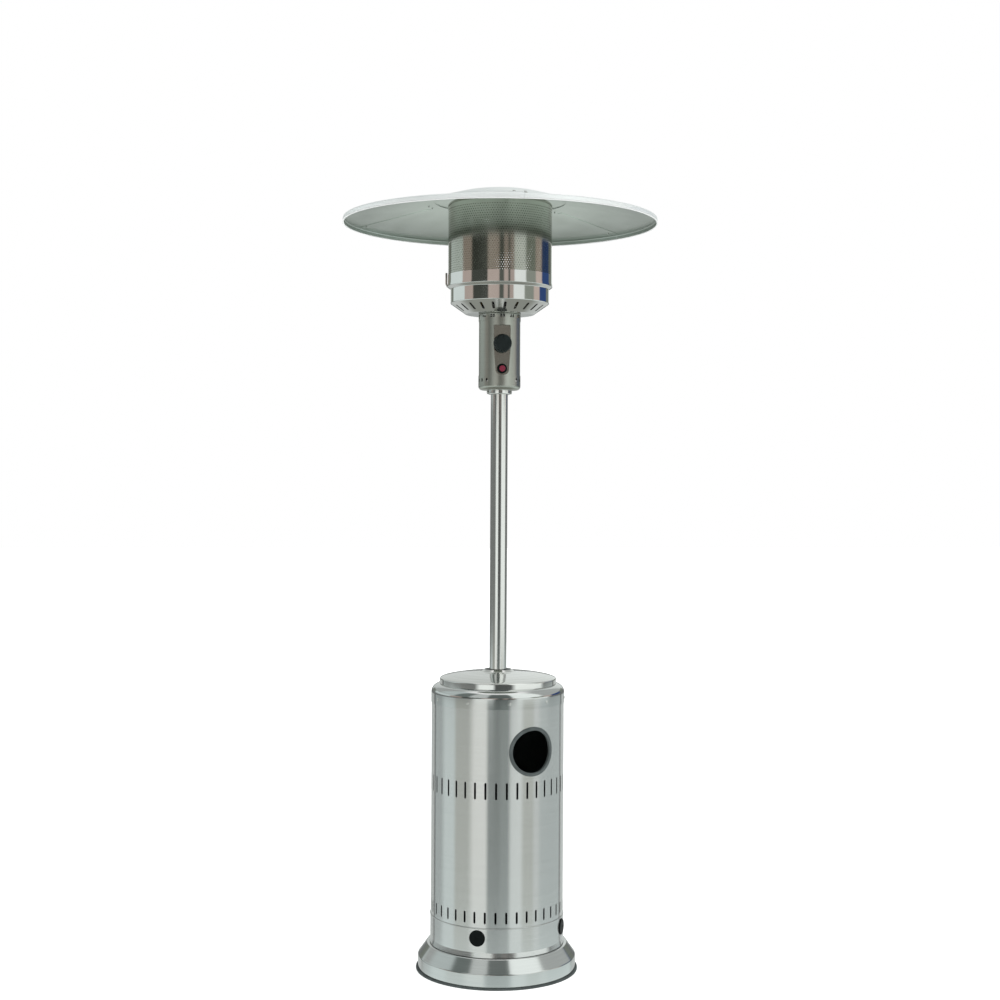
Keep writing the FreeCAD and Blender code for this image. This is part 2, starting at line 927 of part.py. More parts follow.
def make_vent_collar():
    path = [
        (cup_radius, control_top - vent_collar_overlap),
        (cup_radius, pan_z, vent_collar_fillet),
        (cup_radius - vent_collar_ledge, pan_z),
    ]
    middle = (control_top + pan_z) / 2
    half = collar_vent_height / 2
    inner = cup_radius - cup_wall - overcut
    slot = front_box(collar_vent_width, cup_radius + overcut, inner, middle - half, middle + half)
    aside = math.degrees((collar_vent_width + collar_vent_gap) / 2 / cup_radius)
    tools = [vent for side in (-aside, aside) for vent in around(slot, pitches(collar_pair_count, side))]
    return spun_sheet(path, cup_wall).cut(group(tools))


def make_control_panel():
    body = front_prism(keyhole(fit), control_radius + overcut, panel_back_y)
    body = body.common(upright_rod(control_radius, control_bottom, control_top))
    front = control_radius + 2 * overcut
    pocket = front_prism(keyhole(fit + panel_wall), front, panel_y)
    knob_hole = front_rod(bush_radius + sliding_gap, front, 0, knob_z)
    button_hole = front_rod(bezel_bore, front, 0, button_z)
    return body.cut(group([pocket, knob_hole, button_hole]))


# Gas controls

def make_gas_valve():
    block_front = panel_back_y - valve_setback
    block = front_box(valve_width, block_front, block_front - valve_depth, valve_bottom, valve_top)
    bore = bush_radius + sliding_gap
    boss = front_rod(bore + valve_boss_wall, panel_back_y, block_front - overcut, knob_z)
    bush_floor = panel_back_y - bush_reach - bush_room
    bush_bore = front_rod(bore, panel_back_y + overcut, bush_floor, knob_z)
    spindle_floor = panel_back_y - spindle_reach - spindle_room
    spindle_bore = front_rod(spindle_radius + sliding_gap, panel_back_y, spindle_floor, knob_z)
    return block.fuse(boss).cut(group([bush_bore, spindle_bore])).removeSplitter()


def make_spindle_bush():
    outer = knob_back_y - sliding_gap
    inner = panel_back_y - bush_reach
    body = front_rod(bush_radius, outer, inner, knob_z)
    return body.cut(front_rod(spindle_radius + running_fit, outer + overcut, inner - overcut, knob_z))


def make_valve_spindle():
    return front_rod(spindle_radius, knob_back_y + knob_length - knob_cap, panel_back_y - spindle_reach, knob_z)


def make_control_knob():
    corners = [
        (0, 0),
        (knob_radius, 0),
        (knob_radius, knob_skirt_height, knob_skirt_fillet),
        (knob_grip_radius, knob_grip_start, knob_grip_fillet),
        (knob_grip_radius, knob_length, knob_grip_fillet),
        (knob_dish_radius, knob_length),
        (0, knob_length - knob_dish),
    ]
    body = spun(corners)
    tools = [upright_rod(spindle_radius + running_fit, -overcut, knob_length - knob_cap)]
    flute_place = (0, -knob_grip_radius - knob_flute_radius + knob_flute_depth)
    flute = upright_rod(knob_flute_radius, knob_grip_start, knob_length + overcut, flute_place)
    tools += around(flute, pitches(knob_flute_count, 180.0 / knob_flute_count))
    mark = front_box(knob_mark_width, knob_radius, knob_dish_radius / 2, knob_length - knob_mark_depth, 2 * knob_length)
    tools.append(turned(mark, 180))
    return facing_front(body.cut(group(tools)), knob_back_y, knob_z)


def make_igniter_bezel():
    outer = bezel_bore + bezel_wall
    corners = [
        (bezel_bore, 0),
        (outer, 0),
        (outer, bezel_height, bezel_fillet),
        (bezel_bore, bezel_height),
    ]
    return facing_front(spun(corners), panel_y, button_z)


def make_igniter_button():
    top = bezel_height + button_proud
    corners = [
        (0, -button_stem_length),
        (button_stem_radius, -button_stem_length),
        (button_stem_radius, 0),
        (button_radius, 0),
        (button_radius, top, button_fillet),
        (0, top + button_crown),
    ]
    return facing_front(spun(corners), panel_y, button_z)


def make_igniter_body():
    body = front_rod(bezel_bore + igniter_wall, panel_back_y, panel_back_y - igniter_length, button_z)
    well = front_rod(bezel_bore, panel_back_y + overcut, panel_back_y - button_room, button_z)
    stem_floor = panel_back_y - igniter_stem_depth
    stem_bore = front_rod(button_stem_radius + sliding_gap, panel_back_y, stem_floor, button_z)
    return body.cut(group([well, stem_bore]))


def make_gas_jet():
    tip_z = valve_top + jet_hex_height
    base = hexagon(jet_hex, valve_top, jet_hex_height)
    tip = Part.makeCone(jet_root_radius, jet_tip_radius, jet_tip_height, FreeCAD.Vector(0, 0, tip_z), Z_AXIS)
    return base.fuse(tip).cut(upright_rod(jet_bore, valve_top - overcut, tip_z + jet_tip_height + overcut))


def make_tilt_switch():
    back = math.sqrt((control_bore - fit) ** 2 - (tilt_switch_width / 2) ** 2)
    body = front_box(tilt_switch_width, back, back - tilt_switch_depth, button_z, button_z + tilt_switch_height)
    return turned(body, 180)


# Burner

pilot_place = polar_place(pilot_circle, 90.0)
thermocouple_place = polar_place(pilot_circle, -90.0)
electrode_place = polar_place(pilot_circle, 45.0)


def make_burner_pan():
    path = [
        (pan_hole_radius, pan_z),
        (pan_floor_radius, pan_z, pan_fillet),
        (pan_radius, pan_cone_z, pan_fillet),
        (pan_radius, pan_drum_z, pan_rim_fillet),
        (pan_rim_radius, pan_flare_z, pan_rim_fillet),
        (pan_rim_radius, pan_rim_z),
    ]
    body = spun_sheet(path, pan_wall)
    run = pan_radius - pan_floor_radius
    tilt = math.degrees(math.atan2(pan_cone_rise, run))
    slot = front_slot(pan_slot_width, pan_slot_length, pan_wall + overcut, -pan_wall - overcut, 0.0)
    slot = slot.rotated(ORIGIN, X_AXIS, 90 - tilt)
    middle = FreeCAD.Vector(0, -pan_floor_radius - run / 2, pan_z + pan_cone_rise / 2)
    tools = around(slot.translated(middle), pitches(pan_slot_count, pan_slot_azimuth))
    passages = (
        (pilot_radius, pilot_place),
        (thermocouple_radius, thermocouple_place),
        (electrode_radius, electrode_place),
    )
    for radius, place in passages:
        tools.append(upright_rod(radius + fit, pan_z - overcut, pan_floor_z + overcut, place))
    return body.cut(group(tools))


def make_mixer_tube():
    bottom = pan_z - mixer_length
    bore = mixer_radius - mixer_wall
    corners = [
        (bore, bottom),
        (mixer_radius, bottom),
        (mixer_radius, pan_floor_z),
        (burner_flange_radius, pan_floor_z),
        (burner_flange_radius, burner_z),
        (bore, burner_z),
    ]
    return spun(corners)


def make_burner_head():
    path = [
        (burner_flange_radius, burner_z),
        (burner_radius, burner_z + burner_base_rise),
        (burner_radius, burner_z + burner_height, burner_fillet),
        (0, burner_z + burner_height),
    ]
    body = spun_sheet(path, burner_wall)
    inner = burner_radius - burner_wall - overcut
    port = front_rod(burner_port_radius, burner_radius + overcut, inner, burner_z + burner_port_rise)
    return body.cut(group(around(port, pitches(burner_port_count))))


def side_tube(place, radius):
    """Tube from the valve's side to the burner, rising at the given place."""
    side = math.copysign(valve_width / 2, place[0])
    places = [
        FreeCAD.Vector(side, place[1], knob_z),
        FreeCAD.Vector(place[0], place[1], knob_z),
        FreeCAD.Vector(place[0], place[1], pan_z + pilot_rise),
    ]
    return bent_rod(places, tube_bend, radius)


def make_pilot_tube():
    return side_tube(pilot_place, pilot_radius)


def make_thermocouple():
    return side_tube(thermocouple_place, thermocouple_radius)


def make_spark_electrode():
    return upright_rod(electrode_radius, pan_z - electrode_drop, pan_z + pilot_rise, electrode_place)


def make_ignition_lead():
    back = -(panel_back_y - igniter_length)
    aside = electrode_place[0]
    places = [
        FreeCAD.Vector(0, back, button_z),
        FreeCAD.Vector(0, back + lead_setback, button_z),
        FreeCAD.Vector(aside, back + lead_setback, button_z),
        FreeCAD.Vector(aside, back + lead_setback, pan_z - lead_drop),
        FreeCAD.Vector(aside, electrode_place[1], pan_z - lead_drop),
        FreeCAD.Vector(aside, electrode_place[1], pan_z - electrode_drop),
    ]
    return bent_rod(places, lead_bend, lead_radius)


# Emitter

def make_emitter_ring():
    return ring(emitter_radius, emitter_radius - emitter_wall, emitter_z, emitter_band_z)


def make_emitter_screen():
    inner = screen_radius - emitter_wall
    body = ring(screen_radius, inner, emitter_band_z - emitter_lap, emitter_top_z - emitter_edge)
    tools = []
    for row in range(screen_hole_rows):
        height = emitter_band_z + screen_hole_rise + row * screen_hole_pitch
        start = 180.0 / screen_hole_count if row % 2 else 0.0
        hole = front_rod(screen_hole_radius, screen_radius + overcut, inner - overcut, height)
        tools += around(hole, pitches(screen_hole_count, start))
    return body.cut(group(tools))


def make_emitter_top():
    path = [
        (emitter_radius, emitter_top_z - emitter_edge - emitter_lap),
        (emitter_radius, emitter_top_z, emitter_edge),
        (0, emitter_top_z),
    ]
    return spun_sheet(path, emitter_wall)


def make_emitter_lug():
    inner = pan_rim_radius + fit
    outer = inner + lug_depth
    bottom = pan_flare_z - lug_drop
    top = bottom + lug_height
    corners = [(inner, bottom), (outer, bottom + lug_chamfer), (outer, top, lug_fillet), (inner, top)]
    face = section(corners).translated(FreeCAD.Vector(0, -lug_width / 2, 0))
    return turned(face.extrude(Y_AXIS * lug_width), lug_azimuth - 90)


# Reflector

def petal_z(radius):
    """Height of the petals' lower face."""
    return emitter_top_z + petal_lift - reflector_slope * radius


def petal_top_z(radius):
    return petal_z(radius) + reflector_rise


def on_slope(shape, radius, seat_z):
    """A piece drawn upright, set square to the sloping sheet on the front side."""
    leaning = shape.rotated(ORIGIN, X_AXIS, math.degrees(reflector_tilt))
    return leaning.translated(FreeCAD.Vector(0, -radius, seat_z))


def crown_screw_azimuths():
    return [seam + offset for seam in pitches(3) for offset in crown_screw_offsets]


def seam_screw_azimuths():
    return pitches(3, seam_lap / 2)


def reflector_screw_holes(circle, azimuths):
    rod = upright_rod(reflector_screw_radius + fit, -reflector_screw_length, reflector_screw_length)
    return around(on_slope(rod, circle, petal_top_z(circle)), azimuths)


def make_petal(seam):
    inside = reflector_radius - reflector_wall
    lip_z = petal_z(inside) - reflector_lip
    path = [
        (petal_inner_radius, petal_z(petal_inner_radius)),
        (inside, petal_z(inside), reflector_fillet),
        (inside, lip_z),
    ]
    gap = math.degrees(petal_gap / reflector_radius)
    sweep = 120.0 - gap
    body = spun_sector(sheet_corners(path, reflector_wall), seam, sweep)
    bead_place = FreeCAD.Vector(inside, 0, lip_z + reflector_bead)
    bead_face = Part.Face(Part.Wire(Part.makeCircle(reflector_bead, bead_place, Y_AXIS)))
    bead = bead_face.rotated(ORIGIN, Z_AXIS, seam - 90).revolve(ORIGIN, Z_AXIS, sweep)
    flange_inner = crown_radius + seam_margin
    flange_outer = inside - seam_setback
    strip = [
        (flange_inner, petal_z(flange_inner) - reflector_rise),
        (flange_outer, petal_z(flange_outer) - reflector_rise),
        (flange_outer, petal_z(flange_outer)),
        (flange_inner, petal_z(flange_inner)),
    ]
    flange = spun_sector(strip, seam + sweep - seam_lap, 2 * seam_lap + gap)
    holes = reflector_screw_holes(crown_screw_circle, crown_screw_azimuths())
    holes += reflector_screw_holes(seam_screw_circle, seam_screw_azimuths())
    return body.multiFuse([bead, flange]).cut(group(holes)).removeSplitter()


def reflector_screw():
    return domed_screw(
        reflector_screw_head, reflector_screw_dome, reflector_screw_radius, reflector_screw_length)


def make_seam_screws():
    screw = on_slope(reflector_screw(), seam_screw_circle, petal_top_z(seam_screw_circle))
    return group(around(screw, seam_screw_azimuths()))


def make_crown_screws():
    screw = reflector_screw().translated(Z_AXIS * reflector_wall)
    screw = on_slope(screw, crown_screw_circle, petal_top_z(crown_screw_circle))
    return group(around(screw, crown_screw_azimuths()))


def make_reflector_crown():
    step_z = petal_top_z(crown_step_radius) + reflector_rise
    path = [
        (crown_radius, petal_top_z(crown_radius) + reflector_rise),
        (crown_step_radius, step_z, crown_step_fillet),
        (crown_step_radius - crown_rise_width, step_z + crown_rise, crown_rise_fillet),
        (crown_flat_radius, crown_top_z, crown_flat_fillet),
        (0, crown_top_z),
    ]
    body = spun_sheet(path, reflector_wall)
    bottom = crown_top_z - reflector_wall - overcut
    stud_hole = upright_rod(stud_radius + fit, bottom, crown_top_z + overcut, (0, -standoff_circle))
    tools = around(stud_hole, pitches(3, standoff_azimuth))
    tools += reflector_screw_holes(crown_screw_circle, crown_screw_azimuths())
    return body.cut(group(tools))


def make_standoffs():
    under = crown_top_z - reflector_wall
    place = (0, -standoff_circle)
    body = upright_rod(standoff_radius, emitter_top_z, under, place)
    stud = upright_rod(stud_radius, under, crown_top_z + stud_length, place)
    return group(around(body.fuse(stud), pitches(3, standoff_azimuth)))


def make_standoff_nuts():
    dome_z = crown_top_z + nut_height
    dome = spun([
        (0, dome_z),
        (nut_dome_radius, dome_z),
        (nut_dome_radius, dome_z + nut_dome, nut_dome_fillet),
        (0, dome_z + nut_dome),
    ])
    nut = hexagon(nut_hex, crown_top_z, nut_height).fuse(dome)
    bore = upright_rod(stud_radius + running_fit, crown_top_z - overcut, crown_top_z + stud_length + fit)
    nut = nut.cut(bore).translated(FreeCAD.Vector(0, -standoff_circle, 0))
    return group(around(nut, pitches(3, standoff_azimuth)))


# Every piece by name
pieces = {
    "base_trim": make_base_trim(),
    "base_shell": make_base_shell(),
    "base_plate": make_base_plate(),
    "ballast_block": make_ballast_block(),
    "base_bolts": make_base_bolts(),
    "base_nuts": make_base_nuts(),
    "strut_right": make_strut(strut_azimuths[0]),
    "strut_left": make_strut(strut_azimuths[1]),
    "strut_rear": make_strut(strut_azimuths[2]),
    "strut_feet": make_strut_feet(),
    "strut_bolts": make_strut_bolts(),
    "strut_nuts": make_strut_nuts(),
    "post_bracket": make_post_bracket(),
    "socket_plug": make_socket_plug(),
    "gas_inlet_fitting": make_gas_inlet_fitting(),
    "gas_feed_pipe": make_gas_feed_pipe(),
    "pole": make_pole(),
    "set_screws": make_set_screws(),
    "tank_shell": make_tank_shell(),
    "shell_collar": make_shell_collar(),
    "band_plugs": make_band_plugs(),
    "port_grommet": make_port_grommet(),
    "housing_top_ring": make_housing_top_ring(),
    "ring_screws": make_ring_screws(),
    "housing_lid": make_housing_lid(),
    "guide_bush": make_guide_bush(),
    "head_socket": make_head_socket(),
    "control_cup": make_control_cup(),
    "control_tube": make_control_tube(),
    "vent_collar": make_vent_collar(),
    "control_panel": make_control_panel(),
    "gas_valve": make_gas_valve(),
    "spindle_bush": make_spindle_bush(),
    "valve_spindle": make_valve_spindle(),
    "control_knob": make_control_knob(),
    "igniter_bezel": make_igniter_bezel(),
    "igniter_button": make_igniter_button(),
    "igniter_body": make_igniter_body(),
    "gas_jet": make_gas_jet(),
    "tilt_switch": make_tilt_switch(),
    "burner_pan": make_burner_pan(),
    "mixer_tube": make_mixer_tube(),
    "burner_head": make_burner_head(),
    "pilot_tube": make_pilot_tube(),
    "thermocouple": make_thermocouple(),
    "spark_electrode": make_spark_electrode(),
    "ignition_lead": make_ignition_lead(),
    "emitter_ring": make_emitter_ring(),
    "emitter_screen": make_emitter_screen(),
    "emitter_top": make_emitter_top(),
    "emitter_lug": make_emitter_lug(),
    "standoffs": make_standoffs(),
    "standoff_nuts": make_standoff_nuts(),
    "reflector_petal_front_right": make_petal(0.0),
    "reflector_petal_rear": make_petal(120.0),
    "reflector_petal_front_left": make_petal(240.0),
    "seam_screws": make_seam_screws(),
    "reflector_crown": make_reflector_crown(),
    "crown_screws": make_crown_screws(),
}

os.makedirs("parts", exist_ok=True)
for name, shape in pieces.items():
    if not shape.isValid():
        raise ValueError("invalid solid in " + name)
    shape.exportStep("parts/" + name + ".step")
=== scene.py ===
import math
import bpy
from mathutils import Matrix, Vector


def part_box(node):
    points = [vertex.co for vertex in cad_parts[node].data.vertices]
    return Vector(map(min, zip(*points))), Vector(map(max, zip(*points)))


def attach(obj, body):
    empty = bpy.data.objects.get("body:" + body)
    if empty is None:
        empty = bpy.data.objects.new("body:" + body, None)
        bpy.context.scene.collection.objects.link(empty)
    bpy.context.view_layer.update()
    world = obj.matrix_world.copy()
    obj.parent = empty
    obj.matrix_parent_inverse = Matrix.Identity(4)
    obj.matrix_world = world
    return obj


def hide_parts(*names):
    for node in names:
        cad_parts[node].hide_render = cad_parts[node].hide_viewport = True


bl_info = {
    "name": "Gas patio heater",
    "version": (1, 0, 0),
    "blender": (4, 5, 0),
    "location": "View3D > Sidebar > Heater",
    "description": "Models and finishes a free-standing gas patio heater around its packed frame",
    "category": "Object",
}

import bmesh
import bpy
from bpy.props import FloatProperty, FloatVectorProperty, IntProperty, PointerProperty
from mathutils import Matrix, Vector

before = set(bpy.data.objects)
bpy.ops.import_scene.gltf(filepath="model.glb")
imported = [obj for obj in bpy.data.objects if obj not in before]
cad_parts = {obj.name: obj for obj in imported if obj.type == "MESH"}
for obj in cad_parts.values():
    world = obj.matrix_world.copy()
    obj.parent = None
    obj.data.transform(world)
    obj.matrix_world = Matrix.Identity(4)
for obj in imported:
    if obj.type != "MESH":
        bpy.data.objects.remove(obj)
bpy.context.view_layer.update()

MM = 0.001
NEAR = 0.00002
FIT = 0.1 * MM
OVERCUT = 1.0 * MM
FULL_TURN = 2 * math.pi
RIGHT_ANGLE = math.radians(90)
SMOOTH_ANGLE = math.radians(32)
SOFTEN_ANGLE = math.radians(40)
SHELL_STEPS = 360
ROUND_STEPS = 240
SLEEVE_STEPS = 192
SMALL_ROUND_STEPS = 96


def node_top(name):
    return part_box(name)[1].z


def node_foot(name):
    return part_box(name)[0].z


def node_span(name):
    return node_foot(name), node_top(name)


def node_radius(name):
    """Largest distance of a node from the heater's axis."""
    return max(math.hypot(corner.co.x, corner.co.y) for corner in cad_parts[name].data.vertices)


def length(name, description, default):
    return FloatProperty(
        name=name, description=description, default=default, min=0.0, unit="LENGTH", precision=4)


def angle(name, description, degrees):
    return FloatProperty(
        name=name, description=description, default=math.radians(degrees), subtype="ANGLE")


def count(name, description, default):
    return IntProperty(name=name, description=description, default=default, min=1)


def colour(name, description, default):
    return FloatVectorProperty(
        name=name, description=description, default=default, subtype="COLOR", size=3, min=0.0, max=1.0)


# Sizes and colours that a user would change

class HeaterBaseSizes(bpy.types.PropertyGroup):
    """Sizes of the weighted base"""

    skirt_radius: length("Skirt radius", "Outside radius of the upright skirt", node_radius("base_shell"))
    skirt_foot: length("Skirt foot", "Height of the skirt's lower edge", node_foot("base_shell"))
    skirt_height: length("Skirt height", "Height at which the skirt turns inwards", 41.0 * MM)
    deck_height: length("Deck height", "Height of the flat deck", node_top("base_shell"))
    deck_margin: length("Deck margin", "How far the deck stands out past the shell", 10.0 * MM)
    sheet: length("Sheet", "Thickness of the skirt", 1.2 * MM)
    trim_radius: length("Trim radius", "Outside radius of the rubber trim", node_radius("base_trim"))
    trim_width: length("Trim width", "Width of the rubber trim", 11.5 * MM)
    trim_height: length("Trim height", "Height of the rubber trim", node_top("base_trim"))


class HeaterHousingSizes(bpy.types.PropertyGroup):
    """Sizes of the bottle housing"""

    shell_radius: length("Shell radius", "Outside radius of the shell", node_radius("tank_shell"))
    shell_foot: length("Shell foot", "Height of the shell's lower edge", node_foot("tank_shell"))
    shell_top: length("Shell top", "Height of the shell's upper edge", node_top("tank_shell"))
    sheet: length("Sheet", "Thickness of the shell", 1.0 * MM)
    vents_each_side: count("Vents each side", "Vents to each side of the front one in a row", 12)
    vent_pitch: angle("Vent pitch", "Angle from one vent to the next", 9.0)
    vent_width: length("Vent width", "Width of a vent", 6.0 * MM)
    upper_vent: length("Upper vent", "Height of the upper vents", 46.0 * MM)
    lower_vent: length("Lower vent", "Height of the lower vents", 32.0 * MM)
    port_azimuth: angle("Port azimuth", "Where the access port is, from the front to the right", 23.0)
    port_height: length("Port height", "Height of the port's centre", 635.0 * MM)
    port_bore: length("Port bore", "Inside radius of the port's rubber ring", 58.0 * MM)
    collar_top: length("Collar top", "Height of the collar's beaded edge", node_top("shell_collar"))
    collar_foot: length("Collar foot", "Radius of the collar's flared foot", node_radius("shell_collar"))
    plug_azimuth: angle("Cap azimuth", "Where the first black cap is", -24.5)
    plug_radius: length("Cap radius", "Radius of a black cap", 22.4 * MM)
    plug_rise: length("Cap rise", "Height of the caps above the shell's foot", 53.0 * MM)
    lid_foot: length("Lid foot", "Radius of the lid's foot", node_radius("housing_lid"))
    lid_top: length("Lid top", "Height of the lid's lip", node_top("housing_lid"))


class HeaterHeadSizes(bpy.types.PropertyGroup):
    """Sizes of the pole, the control housing, the burner and the emitter"""

    pole_radius: length("Pole radius", "Outside radius of the pole", node_radius("pole"))
    cup_radius: length("Cup radius", "Outside radius of the cup", node_radius("control_cup"))
    sleeve_radius: length("Sleeve radius", "Outside radius of the sleeve", node_radius("control_tube"))
    knob_height: length("Knob height", "Height of the knob's centre", 1757.0 * MM)
    button_height: length("Button height", "Height of the igniter button's centre", 1687.0 * MM)
    pan_radius: length("Pan radius", "Radius of the burner pan's drum", 138.8 * MM)
    pan_foot: length("Pan foot", "Height of the burner pan's floor", node_foot("burner_pan"))
    pan_slots: count("Pan slots", "Slots in the burner pan's cone", 23)
    band_radius: length("Band radius", "Outside radius of the emitter's band", node_radius("emitter_ring"))
    emitter_top: length("Emitter top", "Height of the emitter's cap", node_top("emitter_top"))
    mesh_columns: count("Mesh columns", "Holes round the perforated emitter", 132)
    mesh_rows: count("Mesh rows", "Rows of holes in the perforated emitter", 31)


class HeaterReflectorSizes(bpy.types.PropertyGroup):
    """Sizes of the reflector"""

    radius: length("Radius", "Radius of the reflector", 441.5 * MM)
    slope: FloatProperty(name="Slope", description="Fall of the reflector per unit of radius", default=0.19)
    sheet: length("Sheet", "Thickness of the reflector", 1.0 * MM)
    lip: length("Lip", "Depth of the turned-down lip", 14.0 * MM)
    crown_radius: length("Crown radius", "Radius of the crown's flange", node_radius("reflector_crown"))
    crown_top: length("Crown top", "Height of the crown", node_top("reflector_crown"))


class HeaterColours(bpy.types.PropertyGroup):
    """Colours of the finishes"""

    steel: colour("Brushed steel", "Colour of the brushed steel", (0.62, 0.63, 0.62))
    chrome: colour("Polished steel", "Colour of the polished steel", (0.72, 0.72, 0.70))
    emitter: colour("Emitter steel", "Colour of the perforated emitter", (0.42, 0.43, 0.38))
    control: colour("Control housing", "Colour of the control housing's satin steel", (0.45, 0.46, 0.415))
    aluminium: colour("Reflector", "Colour of the reflector's underside", (0.69, 0.745, 0.69))
    outside: colour("Reflector outside", "Colour of the reflector's outside", (0.93, 0.95, 0.95))
    rubber: colour("Rubber", "Colour of the rubber", (0.012, 0.014, 0.014))
    plastic: colour("Black plastic", "Colour of the knob and the caps", (0.005, 0.007, 0.007))
    button: colour("Button", "Colour of the igniter button", (0.21, 0.014, 0.040))


class HeaterStage(bpy.types.PropertyGroup):
    """Camera and light"""

    camera_azimuth: angle("Camera azimuth", "Where the camera stands, from the front to the right", -8.0)
    camera_distance: length("Camera distance", "Distance of the camera from the axis", 4.655)
    camera_height: length("Camera height", "Height of the camera", 1.365)
    camera_pitch: angle("Camera pitch", "How far the camera looks down", 0.556)
    camera_yaw: angle("Camera yaw", "How far the camera looks to the right of the axis", 0.042)
    camera_roll: angle("Camera roll", "Roll of the camera", 0.29)
    lens: FloatProperty(name="Lens", description="Focal length in millimetres", default=59.4)
    floor_size: length("Floor size", "Length of the floor's sides", 60.0)


# Modelling helpers

def deselect_all():
    active = bpy.context.view_layer.objects.active
    if active is not None and active.mode != "OBJECT":
        bpy.ops.object.mode_set(mode="OBJECT")
    bpy.ops.object.select_all(action="DESELECT")


def make_active(piece):
    deselect_all()
    piece.select_set(True)
    bpy.context.view_layer.objects.active = piece


def open_edit(piece):
    make_active(piece)
    bpy.ops.object.mode_set(mode="EDIT")
    bpy.ops.mesh.select_mode(type="VERT")
    bpy.ops.mesh.select_all(action="SELECT")


def close_edit():
    bpy.ops.object.mode_set(mode="OBJECT")


def close_outwards():
    """Turn all faces outwards and leave edit mode."""
    bpy.ops.mesh.select_all(action="SELECT")
    bpy.ops.mesh.normals_make_consistent(inside=False)
    close_edit()


def pick(piece, kind, wanted):
    """In edit mode, select the VERT, EDGE or FACE elements that the test wants."""
    bpy.ops.mesh.select_mode(type=kind)
    bpy.ops.mesh.select_all(action="DESELECT")
    mesh = bmesh.from_edit_mesh(piece.data)
    elements = {"VERT": mesh.verts, "EDGE": mesh.edges, "FACE": mesh.faces}[kind]
    found = [element for element in elements if wanted(element)]
    if not found:
        raise RuntimeError("nothing to select on " + piece.name)
    for element in found:
        element.select_set(True)
    mesh.select_flush_mode()
    bmesh.update_edit_mesh(piece.data)


def new_object(name):
    """Name the primitive that was just added."""
    piece = bpy.context.object
    piece.name = name
    return piece


def fillets(corners):
    """Each corner that has a fillet, with how far from the corner the fillet starts."""
    flat = [Vector(corner[:2]) for corner in corners]
    for index, corner in enumerate(corners):
        if len(corner) > 2:
            before = flat[index - 1] - flat[index]
            after = flat[(index + 1) % len(flat)] - flat[index]
            yield corner, corner[2] / math.tan(before.angle(after) / 2)


def fillet_steps(fillet):
    if fillet < 3 * MM:
        return 4
    return 8 if fillet < 30 * MM else 12


def on_ring(edge, radius, height):
    for end in edge.verts:
        off_radius = abs(math.hypot(end.co.x, end.co.y) - radius)
        if off_radius > NEAR or abs(end.co.z - height) > NEAR:
            return False
    return True


def turned(name, corners, closed=False, capped=False, steps=ROUND_STEPS):
    """Wall turned about the axis: a circle drawn out through (radius, height, fillet) corners."""
    deselect_all()
    radius, height = corners[0][:2]
    bpy.ops.mesh.primitive_circle_add(vertices=steps, radius=radius)
    piece = new_object(name)
    piece.data.name = name
    open_edit(piece)
    bpy.ops.mesh.select_mode(type="EDGE")
    bpy.ops.transform.translate(value=(0, 0, height))
    for corner in corners[1:]:
        bpy.ops.mesh.extrude_edges_move(TRANSFORM_OT_translate={"value": (0, 0, corner[1] - height)})
        if corner[0] > 0:
            scale = corner[0] / radius
            bpy.ops.transform.resize(value=(scale, scale, 1), center_override=(0, 0, corner[1]))
        else:
            bpy.ops.mesh.merge(type="CENTER")
        radius, height = corner[:2]
    if closed:
        pick(piece, "EDGE", lambda edge: edge.is_boundary)
        bpy.ops.mesh.bridge_edge_loops()
    if capped:
        pick(piece, "EDGE", lambda edge: edge.is_boundary)
        bpy.ops.mesh.edge_face_add()
    for corner, reach in fillets(corners):
        pick(piece, "EDGE", lambda edge: on_ring(edge, corner[0], corner[1]))
        bpy.ops.mesh.bevel(
            offset_type="OFFSET", offset=reach, segments=fillet_steps(corner[2]), profile=0.5,
            affect="EDGES", clamp_overlap=False)
    close_outwards()
    return piece


def face_away(piece, inside):
    """Turn the faces of an open sheet so that they look away from a point inside it."""
    total = sum((face.center - inside).dot(face.normal) * face.area for face in piece.data.polygons)
    if total < 0:
        open_edit(piece)
        bpy.ops.mesh.flip_normals()
        close_edit()


def apply_modifier(piece, kind, **settings):
    make_active(piece)
    bpy.ops.object.modifier_add(type=kind)
    modifier = piece.modifiers[-1]
    for key, value in settings.items():
        setattr(modifier, key, value)
    bpy.ops.object.modifier_apply(modifier=modifier.name)


def thicken(piece, wall, inside_height, outwards=False, second_finish=False):
    """Give a turned sheet its thickness, on the side towards the axis unless outwards is asked for.

    With a second finish, the side that is added takes the second material.
    """
    face_away(piece, Vector((0, 0, inside_height)))
    apply_modifier(
        piece, "SOLIDIFY", thickness=wall, offset=1 if outwards else -1, use_even_offset=True,
        material_offset=1 if second_finish else 0)


def tube(name, radius, foot, top, wall, steps=ROUND_STEPS):
    """Plain upright tube, measured on its outside."""
    piece = turned(name, [(radius, foot), (radius, top)], steps=steps)
    thicken(piece, wall, (foot + top) / 2)
    return piece


def combine(piece, other, operation):
    apply_modifier(piece, "BOOLEAN", operation=operation, solver="EXACT", object=other)
    make_active(other)
    bpy.ops.object.delete()


def cut(piece, *cutters):
    for cutter in cutters:
        combine(piece, cutter, "DIFFERENCE")


def join(pieces):
    make_active(pieces[0])
    for piece in pieces[1:]:
        piece.select_set(True)
    bpy.ops.object.join()
    return pieces[0]


def place(piece, location=(0, 0, 0), tilt=0.0, azimuth=0.0):
    """Lean a piece about X, carry it to a place and turn it about the heater's axis, for good."""
    turn = Matrix.Rotation(azimuth, 4, "Z")
    lean = Matrix.Rotation(tilt, 4, "X")
    piece.matrix_world = turn @ Matrix.Translation(location) @ lean
    make_active(piece)
    bpy.ops.object.transform_apply(location=True, rotation=True, scale=True)


